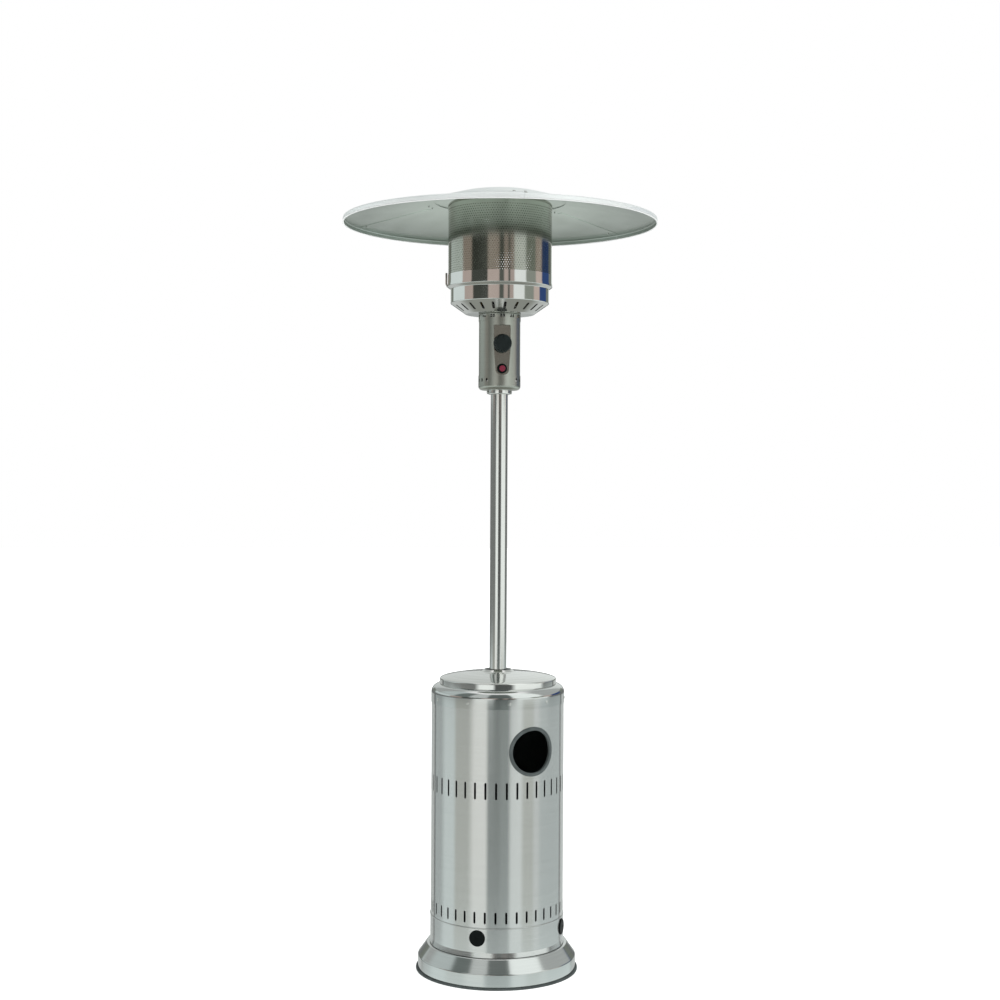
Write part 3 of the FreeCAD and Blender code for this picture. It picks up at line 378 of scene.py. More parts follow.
def face_front(piece, distance, height, azimuth=0.0):
    """Lay a piece modelled upright so that it looks out of the front, at a distance from the axis."""
    place(piece, (0, -distance, height), RIGHT_ANGLE, azimuth)


def copies_round(piece, number, pitch=None):
    """Copies of a piece about the axis, evenly all round unless a pitch is given."""
    step = pitch or FULL_TURN / number
    open_edit(piece)
    bpy.ops.mesh.spin(
        steps=number - 1, dupli=True, angle=step * (number - 1), center=(0, 0, 0), axis=(0, 0, 1))
    close_edit()


def aim(piece, azimuth):
    """Turn a piece about the axis until its middle is at an azimuth."""
    middle = sum((corner.co for corner in piece.data.vertices), Vector())
    place(piece, azimuth=azimuth - RIGHT_ANGLE - math.atan2(middle.y, middle.x))


def rod(name, radius, start, end, steps=32, ends="NGON"):
    """Upright round bar, used as a cutter or a blank."""
    deselect_all()
    bpy.ops.mesh.primitive_cylinder_add(
        vertices=steps, radius=radius, depth=end - start, end_fill_type=ends,
        location=(0, 0, (start + end) / 2))
    piece = new_object(name)
    bpy.ops.object.transform_apply(location=True, rotation=True, scale=True)
    return piece


def slot_cutter(name, width, height, depth):
    """Bar with a long round-ended section, lying along Z with its length along Y."""
    piece = rod(name, width / 2, -depth / 2, depth / 2, steps=20)
    half_run = (height - width) / 2
    open_edit(piece)
    for side in (1, -1):
        pick(piece, "VERT", lambda corner: corner.co.y * side > NEAR)
        bpy.ops.transform.translate(value=(0, side * half_run, 0))
    close_edit()
    return piece


def upright(corner):
    """Place of an outline's corner in the XZ plane."""
    return Vector((corner[0], 0, corner[1]))


def outline(name, corners):
    """Flat face in the XZ plane through (x, z, fillet) corners, drawn point by point."""
    deselect_all()
    bpy.ops.mesh.primitive_plane_add(size=MM)
    piece = new_object(name)
    open_edit(piece)
    bpy.ops.mesh.merge(type="CENTER")
    places = [upright(corner) for corner in corners]
    bpy.ops.transform.translate(value=places[0])
    for here, following in zip(places, places[1:]):
        bpy.ops.mesh.extrude_vertices_move(TRANSFORM_OT_translate={"value": following - here})
    bpy.ops.mesh.select_all(action="SELECT")
    bpy.ops.mesh.edge_face_add()
    for corner, reach in fillets(corners):
        pick(piece, "VERT", lambda point: (point.co - upright(corner)).length < NEAR)
        bpy.ops.mesh.bevel(offset_type="OFFSET", offset=reach, segments=8, affect="VERTICES")
    close_edit()
    return piece


def prism(name, corners, start, end):
    """Solid from an outline, drawn along Y between two distances."""
    piece = outline(name, corners)
    open_edit(piece)
    bpy.ops.transform.translate(value=(0, start, 0))
    bpy.ops.mesh.extrude_region_move(TRANSFORM_OT_translate={"value": (0, end - start, 0)})
    close_outwards()
    return piece


def soften(piece, width):
    """Round the sharp edges of a solid piece a little."""
    apply_modifier(
        piece, "BEVEL", width=width, segments=2, limit_method="ANGLE", angle_limit=SOFTEN_ANGLE,
        harden_normals=False)


def add_finishes(piece, *names):
    for name in names:
        piece.data.materials.append(finish(name))


def finish_piece(piece, look, body, slot, *nodes):
    """Shade a piece, give it its finish and hang it on its body in place of its nodes."""
    make_active(piece)
    bpy.ops.object.shade_smooth_by_angle(angle=SMOOTH_ANGLE)
    apply_modifier(piece, "WEIGHTED_NORMAL", mode="FACE_AREA", weight=50, keep_sharp=True)
    if piece.data.materials:
        piece.data.materials[0] = finish(look)
    else:
        add_finishes(piece, look)
    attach(piece, body)
    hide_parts(*nodes)


# Finishes

OWN = "heater_"
HORIZONTAL_GRAIN = (5, 5, 1500)
WAVY_GRAIN = (9, 9, 5)
DIMPLED_GRAIN = (14, 14, 14)
FINE_GRAIN = (160, 160, 160)
SANDY_GRAIN = (700, 700, 700)
NOISE_MIDDLE = (0.3, 0.7)
# Painted reflection and shade on the reflector's underside: the radii and shares of its colour, from the
# lighter middle to the darker rim
PAINTED_SHADE_RADII = (0.10, 0.50)
PAINTED_MIDDLE_LIGHT = 1.12
PAINTED_RIM_SHADE = 0.73


def feed(tree, node, inputs):
    """Set inputs of a node to values, or link them where a socket is given."""
    for key, value in inputs.items():
        if isinstance(value, bpy.types.NodeSocket):
            tree.links.new(value, node.inputs[key])
        else:
            node.inputs[key].default_value = value


def add_node(tree, kind, inputs=None, **settings):
    node = tree.nodes.new("ShaderNode" + kind)
    for key, value in settings.items():
        setattr(node, key, value)
    feed(tree, node, inputs or {})
    return node


def new_finish(name, base, metallic, roughness):
    material = bpy.data.materials.new(OWN + name)
    material.use_nodes = True
    tree = material.node_tree
    shader = tree.nodes["Principled BSDF"]
    feed(tree, shader, {"Base Color": (*base, 1), "Metallic": metallic, "Roughness": roughness})
    return material, tree, shader


def noise_on_object(tree, scale, detail=3.0):
    """Noise on Object coordinates, with its own scale along each axis."""
    coordinates = add_node(tree, "TexCoord").outputs["Object"]
    mapping = add_node(tree, "Mapping", {"Vector": coordinates, "Scale": scale})
    grain = {"Vector": mapping.outputs["Vector"], "Scale": 1.0, "Detail": detail, "Roughness": 0.55}
    return add_node(tree, "TexNoise", grain).outputs["Fac"]


def spread(tree, source, middle, vary):
    """Map the middle of a noise onto a range about a value."""
    low, high = NOISE_MIDDLE
    span = {"From Min": low, "From Max": high, "To Min": middle - vary, "To Max": middle + vary}
    return add_node(tree, "MapRange", {"Value": source, **span}).outputs["Result"]


def shade_of(base, factor):
    return tuple(min(1.0, channel * factor) for channel in base)


def tint(tree, source, base, *factors):
    """Colour that goes from one shade of the base to another as the source rises."""
    ramp = add_node(tree, "ValToRGB", {"Fac": source})
    for stop, position, factor in zip(ramp.color_ramp.elements, NOISE_MIDDLE, factors):
        stop.position = position
        stop.color = (*shade_of(base, factor), 1)
    return ramp.outputs["Color"]


def bump(tree, source, strength, depth):
    node = add_node(tree, "Bump", {"Height": source, "Strength": strength, "Distance": depth})
    return node.outputs["Normal"]


def metal(name, base, roughness, vary, grain, depth=0.0, brushed=0.0, metallic=1.0):
    """Metal with a grain: its colour, gloss and surface follow a stretched noise."""
    material, tree, shader = new_finish(name, base, metallic, roughness)
    lines = noise_on_object(tree, grain)
    feed(tree, shader, {
        "Base Color": tint(tree, lines, base, 0.93, 1.05),
        "Roughness": spread(tree, lines, roughness, vary)})
    if depth > 0:
        feed(tree, shader, {"Normal": bump(tree, lines, 0.25, depth)})
    if brushed > 0:
        tangent = add_node(tree, "Tangent", direction_type="RADIAL", axis="Z").outputs["Tangent"]
        feed(tree, shader, {"Tangent": tangent, "Anisotropic": brushed, "Anisotropic Rotation": 0.25})
    return material


def moulded(name, base, roughness, grain, depth, coat=0.0, gloss=0.5):
    """Plastic, rubber or another plain solid with a fine moulded grain."""
    material, tree, shader = new_finish(name, base, 0.0, roughness)
    grains = noise_on_object(tree, (grain, grain, grain), 4.0)
    coarse = grain / 25
    mottle = noise_on_object(tree, (coarse, coarse, coarse), 2.0)
    feed(tree, shader, {
        "Base Color": tint(tree, mottle, base, 0.8, 1.2),
        "Roughness": spread(tree, grains, roughness, 0.06),
        "Coat Weight": coat,
        "Specular IOR Level": gloss,
        "Normal": bump(tree, grains, 0.4, depth)})
    return material


def metal_with_painted_rim_shade(name, base, *settings):
    """Metal of a round sheet with painted reflection and shade: its colour is lighter in the middle and
    darkens to its rim.
    """
    material = metal(name, base, *settings)
    tree = material.node_tree
    coordinates = add_node(tree, "TexCoord").outputs["Object"]
    flat = add_node(tree, "VectorMath", {0: coordinates, 1: (1, 1, 0)}, operation="MULTIPLY")
    radius = add_node(tree, "VectorMath", {0: flat.outputs["Vector"]}, operation="LENGTH")
    inner, outer = PAINTED_SHADE_RADII
    span = {"Value": radius.outputs["Value"], "From Min": inner, "From Max": outer}
    fall = add_node(tree, "MapRange", span).outputs["Result"]
    # painted shade: the colour runs from painted light in the middle to painted shade at the rim
    shade = tint(tree, fall, base, PAINTED_MIDDLE_LIGHT, PAINTED_RIM_SHADE)
    feed(tree, tree.nodes["Principled BSDF"], {"Base Color": shade})
    return material


# Each finish: its maker, its colour or the setting that holds it, and what else the maker asks for
FINISHES = {
    "brushed_steel": (metal, "steel", 0.13, 0.02, HORIZONTAL_GRAIN, 0.000004, 0.5, 0.85),
    "satin_lid_steel": (metal, "chrome", 0.10, 0.02, HORIZONTAL_GRAIN),
    "satin_control_steel": (metal, "control", 0.33, 0.04, HORIZONTAL_GRAIN, 0.000004),
    # Keyhole panel: a little darker than the sleeve, painted shade for the recessed panel's dark reflections
    "dark_panel_steel": (metal, "control", 0.22, 0.04, HORIZONTAL_GRAIN),
    "polished_steel": (metal, "chrome", 0.07, 0.02, WAVY_GRAIN, 0.0004),
    "spun_base_steel": (metal, "steel", 0.13, 0.02, HORIZONTAL_GRAIN),
    "pole_steel": (metal, "chrome", 0.12, 0.03, HORIZONTAL_GRAIN),
    "emitter_steel": (metal, "emitter", 0.13, 0.03, WAVY_GRAIN, 0.0003),
    # Reflector's underside: painted reflection and shade, lighter in the middle and darker at the rim
    "reflector_aluminium": (metal_with_painted_rim_shade, "aluminium", 0.34, 0.04, DIMPLED_GRAIN, 0.0003),
    "reflector_outside": (metal, "outside", 0.40, 0.04, HORIZONTAL_GRAIN, 0.0, 0.0, 0.3),
    # Inside of the shell: dark steel, painted shade for the housing's unlit interior
    "shell_inside_steel": (metal, (0.13, 0.15, 0.15), 0.6, 0.08, HORIZONTAL_GRAIN),
    "zinc_plated_steel": (metal, (0.60, 0.60, 0.58), 0.38, 0.08, FINE_GRAIN, 0.00003),
    "cast_aluminium": (metal, (0.55, 0.55, 0.54), 0.5, 0.08, SANDY_GRAIN, 0.00006),
    "brass": (metal, (0.72, 0.50, 0.20), 0.28, 0.06, FINE_GRAIN, 0.00002),
    "dark_painted_steel": (moulded, (0.018, 0.019, 0.020), 0.5, 600, 0.00003),
    "concrete": (moulded, (0.32, 0.31, 0.29), 0.9, 260, 0.0006),
    "black_rubber": (moulded, "rubber", 0.62, 900, 0.00004, 0.0, 0.3),
    # Grey rubber, seven times lighter than the rubber setting
    "worn_rubber": (moulded, "rubber", 0.7, 900, 0.00004, 0.0, 0.3),
    "black_plastic": (moulded, "plastic", 0.36, 1200, 0.00002, 0.0, 0.07),
    "knob_plastic": (moulded, "plastic", 0.36, 1200, 0.00002, 0.0, 0.16),
    "red_plastic": (moulded, "button", 0.30, 800, 0.00002, 0.3),
    "ceramic": (moulded, (0.78, 0.76, 0.70), 0.25, 500, 0.00002, 0.4),
}
# Finishes that are darker or lighter than the setting that holds their colour; the panel's darker colour is
# painted shade
SHADES = {"dark_panel_steel": 0.92, "worn_rubber": 7.0, "knob_plastic": 2.6}


def finish(name):
    """The finish of that name, made when it is first asked for."""
    known = bpy.data.materials.get(OWN + name)
    if known:
        return known
    maker, base, *settings = FINISHES[name]
    if isinstance(base, str):
        base = tuple(getattr(bpy.context.scene.heater_colours, base))
    return maker(name, shade_of(base, SHADES.get(name, 1.0)), *settings)


# Pieces of the base

class HEATER_OT_base_skirt(bpy.types.Operator):
    """Spin the polished skirt and its flat deck"""

    bl_idname = "heater.base_skirt"
    bl_label = "Base skirt"

    def execute(self, context):
        sizes = context.scene.heater_base
        deck_radius = context.scene.heater_housing.shell_radius + sizes.deck_margin
        corners = [
            (sizes.skirt_radius, sizes.skirt_foot),
            (sizes.skirt_radius, sizes.skirt_height, 5 * MM),
            (deck_radius, sizes.deck_height, 4 * MM),
            (0, sizes.deck_height),
        ]
        piece = turned("spun_base_skirt", corners)
        thicken(piece, sizes.sheet, sizes.skirt_foot)
        finish_piece(piece, "spun_base_steel", "base", "polished_steel", "base_shell")
        return {"FINISHED"}


class HEATER_OT_base_trim(bpy.types.Operator):
    """Mould the rubber trim that the base stands on"""

    bl_idname = "heater.base_trim"
    bl_label = "Base trim"

    def execute(self, context):
        sizes = context.scene.heater_base
        radius, top, groove = sizes.trim_radius, sizes.trim_height, sizes.skirt_foot
        bore = radius - sizes.trim_width
        groove_outer = sizes.skirt_radius + FIT
        groove_inner = sizes.skirt_radius - sizes.sheet - FIT
        corners = [
            (bore, 0),
            (radius, 0, 1.2 * MM),
            (radius, top, 2.5 * MM),
            (groove_outer, top),
            (groove_outer, groove),
            (groove_inner, groove),
            (groove_inner, top),
            (bore, top),
        ]
        piece = turned("rubber_base_trim", corners, closed=True)
        finish_piece(piece, "worn_rubber", "base", "black_rubber", "base_trim")
        return {"FINISHED"}


# Pieces of the housing

CAP_COUNT = 4
CAP_RIM = 2.0 * MM
SHOULDER_RISE = 27.5 * MM
SHOULDER_SCREWS = 10


def set_round_band(piece, sizes, distance):
    """Set a piece where the first black cap is and copy it to the other caps."""
    face_front(piece, distance, sizes.shell_foot + sizes.plug_rise, sizes.plug_azimuth)
    copies_round(piece, CAP_COUNT)


def cap_hole_cutter(sizes):
    hole = rod("cap_holes", sizes.plug_radius - CAP_RIM + FIT, start=-10 * MM, end=10 * MM)
    set_round_band(hole, sizes, sizes.shell_radius)
    return hole


class HEATER_OT_bottle_shell(bpy.types.Operator):
    """Roll the brushed shell and cut its vents, port and holes"""

    bl_idname = "heater.bottle_shell"
    bl_label = "Bottle shell"

    def execute(self, context):
        sizes = context.scene.heater_housing
        radius, foot, top = sizes.shell_radius, sizes.shell_foot, sizes.shell_top
        piece = turned("brushed_bottle_shell", [(radius, foot), (radius, top)], steps=SHELL_STEPS)
        # The inner side takes the dark inside finish, painted shade for the housing's unlit interior
        add_finishes(piece, "brushed_steel", "shell_inside_steel")
        thicken(piece, sizes.sheet, (foot + top) / 2, second_finish=True)
        upper_rise, lower_rise = 454 * MM, 108.5 * MM
        for height, rise in ((sizes.upper_vent, upper_rise), (sizes.lower_vent, lower_rise)):
            vent = slot_cutter("vents", sizes.vent_width, height, depth=8 * MM)
            face_front(vent, radius, foot + rise)
            copies_round(vent, 2 * sizes.vents_each_side + 1, sizes.vent_pitch)
            aim(vent, 0)
            cut(piece, vent)
        hole = sizes.port_bore + 4 * MM
        port = rod("port", hole, start=-60 * MM, end=20 * MM, steps=SMALL_ROUND_STEPS)
        face_front(port, radius, sizes.port_height, sizes.port_azimuth)
        cut(piece, port, cap_hole_cutter(sizes))
        finish_piece(piece, "brushed_steel", "housing", "brushed_steel", "tank_shell")
        return {"FINISHED"}


class HEATER_OT_shell_collar(bpy.types.Operator):
    """Spin the lower band with its flared foot and beaded edge"""

    bl_idname = "heater.shell_collar"
    bl_label = "Shell collar"

    def execute(self, context):
        sizes = context.scene.heater_housing
        top, wall, bead_rise = sizes.collar_top, 1.0 * MM, 1.3 * MM
        bore = sizes.shell_radius + FIT
        outside = bore + wall
        bead = outside + bead_rise
        foot = sizes.shell_foot + 1 * MM
        break_height = sizes.shell_foot + 14 * MM
        corners = [
            (sizes.collar_foot, foot),
            (outside, break_height, 4 * MM),
            (outside, top - 2 * bead_rise),
            (bead, top - bead_rise, 0.6 * MM),
            (bead, top, 0.6 * MM),
            (bore, top),
            (bore, break_height - 0.08 * MM, 5 * MM),
            (sizes.collar_foot - 0.99 * MM, foot - 0.15 * MM),
        ]
        piece = turned("flared_shell_collar", corners, closed=True, steps=SHELL_STEPS)
        cut(piece, cap_hole_cutter(sizes))
        finish_piece(piece, "brushed_steel", "housing", "brushed_steel", "shell_collar")
        return {"FINISHED"}


class HEATER_OT_band_caps(bpy.types.Operator):
    """Mould the four black caps on the lower band"""

    bl_idname = "heater.band_caps"
    bl_label = "Band caps"

    def execute(self, context):
        sizes = context.scene.heater_housing
        radius, seat, crown = sizes.plug_radius, -1.5 * MM, 3.2 * MM
        groove, pip = crown - 0.8 * MM, crown - 0.1 * MM
        corners = [
            (radius - CAP_RIM, seat - 3 * MM),
            (radius - CAP_RIM, seat),
            (radius, seat),
            (radius, crown, crown * 0.9),
            (4 * MM, crown),
            (3.4 * MM, groove),
            (1.6 * MM, groove),
            (1.3 * MM, pip),
            (0, pip),
        ]
        piece = turned("band_caps", corners, capped=True, steps=48)
        set_round_band(piece, sizes, sizes.shell_radius + 1.2 * MM)
        finish_piece(piece, "black_plastic", "housing", "black_plastic", "band_plugs")
        return {"FINISHED"}


class HEATER_OT_port_ring(bpy.types.Operator):
    """Mould the rubber ring of the access port and curve it to the shell"""

    bl_idname = "heater.port_ring"
    bl_label = "Port ring"

    def execute(self, context):
        sizes = context.scene.heater_housing
        bore = sizes.port_bore
        web = bore + 3.9 * MM
        lip = bore + 9.5 * MM
        wall = sizes.sheet / 2 + FIT
        reach = sizes.sheet / 2 + 3.2 * MM
        corners = [
            (bore, -reach, 1.2 * MM),
            (lip, -reach, 1.5 * MM),
            (lip, -wall),
            (web, -wall),
            (web, wall),
            (lip, wall),
            (lip, reach, 1.8 * MM),
            (bore, reach, 1.2 * MM),
        ]
        piece = turned("port_rubber_ring", corners, closed=True, steps=SMALL_ROUND_STEPS)
        place(piece, tilt=RIGHT_ANGLE)
        middle = sizes.shell_radius - sizes.sheet / 2
        open_edit(piece)
        stretch = middle * math.asin(lip / middle) / lip
        bpy.ops.transform.resize(value=(stretch, 1, 1), center_override=(0, 0, 0))
        close_edit()
        bend = 2 * stretch * lip / middle
        apply_modifier(piece, "SIMPLE_DEFORM", deform_method="BEND", deform_axis="Z", angle=bend)
        sides = [corner.co.y for corner in piece.data.vertices if abs(corner.co.x) > lip * 0.9]
        if sum(sides) < 0:
            place(piece, azimuth=math.pi)
        place(piece, (0, -middle, sizes.port_height), azimuth=sizes.port_azimuth)
        finish_piece(piece, "worn_rubber", "housing", "black_rubber", "port_grommet")
        return {"FINISHED"}


class HEATER_OT_shoulder_ring(bpy.types.Operator):
    """Spin the polished shoulder on top of the shell"""

    bl_idname = "heater.shoulder_ring"
    bl_label = "Shoulder ring"

    def execute(self, context):
        sizes = context.scene.heater_housing
        wall = 1.2 * MM
        radius = sizes.shell_radius + FIT + wall
        skirt = sizes.shell_top - 24 * MM
        top = sizes.shell_top + SHOULDER_RISE
        corners = [(radius, skirt), (radius, top, 24.5 * MM), (sizes.lid_foot - 14 * MM, top)]
        piece = turned("polished_shoulder", corners)
        thicken(piece, wall, skirt)
        finish_piece(piece, "spun_base_steel", "housing", "polished_steel", "housing_top_ring")
        return {"FINISHED"}


def round_head_screw(name, head, rise, shank, reach):
    """Screw with a rounded head and a sunk drive, seat at zero."""
    drive_floor = rise * 0.45
    corners = [
        (shank, -reach),
        (shank, 0),
        (head, 0),
        (head, rise, rise * 0.8),
        (head * 0.42, rise),
        (head * 0.36, drive_floor),
        (0, drive_floor),
    ]
    return turned(name, corners, capped=True, steps=24)


class HEATER_OT_shoulder_screws(bpy.types.Operator):
    """Turn the ten screws under the shoulder"""

    bl_idname = "heater.shoulder_screws"
    bl_label = "Shoulder screws"

    def execute(self, context):
        sizes = context.scene.heater_housing
        seat, height, first = sizes.shell_radius + 1.3 * MM, sizes.shell_top - 9 * MM, math.radians(2)
        piece = round_head_screw(
            "shoulder_screws", head=4.4 * MM, rise=2 * MM, shank=2 * MM, reach=4.8 * MM)
        face_front(piece, seat, height, first)
        copies_round(piece, SHOULDER_SCREWS)
        finish_piece(piece, "polished_steel", "housing", "zinc_plated_steel", "ring_screws")
        return {"FINISHED"}


class HEATER_OT_housing_lid(bpy.types.Operator):
    """Spin the satin lid with its polished rim"""

    bl_idname = "heater.housing_lid"
    bl_label = "Housing lid"

    def execute(self, context):
        sizes = context.scene.heater_housing
        foot = sizes.shell_top + SHOULDER_RISE
        rim = sizes.lid_foot - 0.3 * MM
        rim_height = foot + 15.3 * MM
        lip = context.scene.heater_head.pole_radius + 15 * MM
        corners = [
            (sizes.lid_foot, foot),
            (rim, rim_height, 4 * MM),
            (rim - 8.1 * MM, rim_height + 4.2 * MM, 40 * MM),
            (rim - 42 * MM, rim_height + 11.5 * MM, 250 * MM),
            (lip + 9 * MM, sizes.lid_top - 6.5 * MM, 10 * MM),
            (lip, sizes.lid_top),
        ]
        piece = turned("spun_lid", corners)
        add_finishes(piece, "satin_lid_steel", "polished_steel")
        open_edit(piece)
        pick(piece, "FACE", lambda face: face.calc_center_median().z < rim_height - 3 * MM)
        piece.active_material_index = 1
        bpy.ops.object.material_slot_assign()
        close_edit()
        thicken(piece, 1.2 * MM, sizes.shell_top)
        finish_piece(piece, "satin_lid_steel", "housing", "brushed_steel", "housing_lid")
        return {"FINISHED"}


# Pole and control housing

class HEATER_OT_pole(bpy.types.Operator):
    """Draw the pole and the neck on its top"""

    bl_idname = "heater.pole"
    bl_label = "Pole and neck"

    def execute(self, context):
        radius = context.scene.heater_head.pole_radius
        bottom, top = node_span("pole")
        pole = tube("chrome_pole", radius, bottom, top, 1.5 * MM, SMALL_ROUND_STEPS)
        finish_piece(pole, "pole_steel", "base", "polished_steel", "pole")

        foot, head = node_span("head_socket")
        cup = node_foot("control_cup")
        bore, stop = radius + FIT, radius - 4 * MM
        collar, spigot = bore + 7.9 * MM, bore + 5.9 * MM
        corners = [
            (bore, foot),
            (collar, foot, 3 * MM),
            (collar, cup),
            (spigot, cup),
            (spigot, head),
            (stop, head),
            (stop, top),
            (bore, top),
        ]
        neck = turned("pole_neck", corners, closed=True, steps=SMALL_ROUND_STEPS)
        finish_piece(neck, "polished_steel", "base", "polished_steel", "head_socket")
        return {"FINISHED"}


PANEL_DEPTH = 6.7 * MM
CUP_VENTS = 16
CUP_VENT_PITCH = math.radians(18)
COLLAR_VENT_PAIRS = 13
KNOB_FLUTES = 18


def cup_vent_cutter(sizes):
    """Fan of vents round the sides and back of the cup."""
    vent = slot_cutter("cup_vents", width=6 * MM, height=10 * MM, depth=8 * MM)
    face_front(vent, sizes.sleeve_radius, node_foot("control_cup") + 27 * MM)
    copies_round(vent, CUP_VENTS, CUP_VENT_PITCH)
    aim(vent, math.pi)
    return vent


def keyhole(sizes, inset):
    """Outline of the recess: round at the button, wider at the knob."""
    half_top = 24.5 * MM - inset
    half_foot = 19.0 * MM - inset
    foot = sizes.button_height - 19 * MM + inset
    waist = sizes.knob_height - 12.8 * MM
    top = sizes.knob_height + 53 * MM - inset
    right = [(half_foot, foot, 16 * MM - inset), (half_top, waist, 60 * MM), (half_top, top, 4 * MM)]
    return right + [(-x, z, fillet) for x, z, fillet in reversed(right)]


class HEATER_OT_control_housing(bpy.types.Operator):
    """Spin the cup, the sleeve and the slotted collar of the control housing"""

    bl_idname = "heater.control_housing"
    bl_label = "Control housing"

    def execute(self, context):
        sizes = context.scene.heater_head
        wall, radius = 1.0 * MM, sizes.cup_radius
        foot, top = node_span("control_cup")
        corners = [(sizes.pole_radius + 6.1 * MM, foot), (radius, foot, 11 * MM), (radius, top)]
        cup = turned("vented_cup", corners, steps=SLEEVE_STEPS)
        thicken(cup, wall, top)
        cut(cup, cup_vent_cutter(sizes))
        finish_piece(cup, "satin_control_steel", "base", "polished_steel", "control_cup")

        sleeve = tube("control_sleeve", sizes.sleeve_radius, *node_span("control_tube"), wall, SLEEVE_STEPS)
        window = prism("window", keyhole(sizes, 0), -sizes.sleeve_radius - 5 * MM, -20 * MM)
        cut(sleeve, window, cup_vent_cutter(sizes))
        finish_piece(sleeve, "satin_control_steel", "base", "polished_steel", "control_tube")

        foot, top = node_span("vent_collar")
        corners = [(radius, foot), (radius, top, 2 * MM), (radius - 4.1 * MM, top)]
        collar = turned("slotted_collar", corners, steps=SLEEVE_STEPS)
        thicken(collar, wall, foot)
        cut(collar, self.collar_vents(radius, top - 7 * MM))
        finish_piece(collar, "satin_control_steel", "base", "polished_steel", "vent_collar")
        return {"FINISHED"}

    def collar_vents(self, radius, middle):
        """Pairs of upright vents all round the collar."""
        half_width, half_height, gap, depth = 2.5 * MM, 4.5 * MM, 2.5 * MM, 3 * MM
        low, high = middle - half_height, middle + half_height
        corners = [(half_width, low), (half_width, high), (-half_width, high), (-half_width, low)]
        vents = []
        for side in (-1, 1):
            vent = prism("collar_vents", corners, -radius - depth, -radius + depth)
            place(vent, azimuth=side * (half_width + gap / 2) / radius)
            vents.append(vent)
        pairs = join(vents)
        copies_round(pairs, COLLAR_VENT_PAIRS)
        return pairs


class HEATER_OT_control_panel(bpy.types.Operator):
    """Press the keyhole-shaped panel behind knob and button"""

    bl_idname = "heater.control_panel"
    bl_label = "Control panel"

    def execute(self, context):
        sizes = context.scene.heater_head
        wall = 1.2 * MM
        floor = sizes.sleeve_radius - PANEL_DEPTH
        outer = sizes.sleeve_radius + OVERCUT
        piece = prism("keyhole_panel", keyhole(sizes, FIT), -outer, wall - floor)
        blank_foot, blank_top = 1.6, 1.9
        blank = rod("panel_blank", sizes.sleeve_radius, blank_foot, blank_top, SLEEVE_STEPS)
        combine(piece, blank, "INTERSECT")
        cut(piece, prism("pocket", keyhole(sizes, FIT + wall), -outer - OVERCUT, -floor))
        knob_hole, button_hole = 9.4 * MM, 9.0 * MM
        for radius, height in ((knob_hole, sizes.knob_height), (button_hole, sizes.button_height)):
            hole = rod("panel_hole", radius, start=-20 * MM, end=20 * MM)
            face_front(hole, floor, height)
            cut(piece, hole)
        # The panel's darker colour is painted shade in the recess
        finish_piece(piece, "dark_panel_steel", "base", "polished_steel", "control_panel")
        return {"FINISHED"}


class HEATER_OT_control_knob(bpy.types.Operator):
    """Mould the fluted knob with its pointer"""

    bl_idname = "heater.control_knob"
    bl_label = "Control knob"

    def execute(self, context):
        sizes = context.scene.heater_head
        skirt, grip, grip_foot, tall = 25.5 * MM, 23 * MM, 9.7 * MM, 21.5 * MM
        bore = 4.05 * MM
        corners = [
            (bore, 15.5 * MM),
            (bore, 0),
            (skirt, 0),
            (skirt, 5.4 * MM, 1.5 * MM),
            (grip, grip_foot, 2.5 * MM),
            (grip, tall, 2.5 * MM),
            (17 * MM, tall),
            (0, tall - 1.2 * MM),
        ]
        piece = turned("fluted_knob", corners, capped=True, steps=108)
        flute = rod("flutes", 4.1 * MM, grip_foot, tall + OVERCUT, steps=24)
        place(flute, (0, -grip - 2.6 * MM, 0), azimuth=FULL_TURN / KNOB_FLUTES / 2)
        copies_round(flute, KNOB_FLUTES)
        pointer = slot_cutter("pointer", width=2 * MM, height=15 * MM, depth=3.2 * MM)
        place(pointer, (0, 16.5 * MM, tall))
        cut(piece, flute, pointer)
        face_front(piece, sizes.sleeve_radius + 0.8 * MM, sizes.knob_height)
        finish_piece(piece, "knob_plastic", "knob", "black_plastic", "control_knob")
        return {"FINISHED"}


class HEATER_OT_igniter(bpy.types.Operator):
    """Mould the black surround and the red push button"""

    bl_idname = "heater.igniter"
    bl_label = "Igniter"

    def execute(self, context):
        sizes = context.scene.heater_head
        floor = sizes.sleeve_radius - PANEL_DEPTH
        bore, rise = 9.0 * MM, 6.5 * MM
        outside = bore + 4.8 * MM
        corners = [(bore, 0), (outside, 0), (outside, rise, 2.5 * MM), (bore, rise, 0.8 * MM)]
        surround = turned("igniter_surround", corners, closed=True, steps=64)
        face_front(surround, floor, sizes.button_height)
        finish_piece(surround, "black_plastic", "base", "black_plastic", "igniter_bezel")

        stem, radius, top = 4 * MM, 8.6 * MM, rise + 3.5 * MM
        corners = [
            (stem, -9.2 * MM),
            (stem, 0),
            (radius, 0),
            (radius, top, 1.5 * MM),
            (0, top + 0.4 * MM),
        ]
        button = turned("red_push_button", corners, capped=True, steps=64)
        face_front(button, floor, sizes.button_height)
        finish_piece(button, "red_plastic", "igniter", "red_plastic", "igniter_button")
        return {"FINISHED"}


# Burner and emitter

PAN_RIM = 9 * MM
LUG_AZIMUTH = math.radians(-97)
HOLE_PERCENT = 19


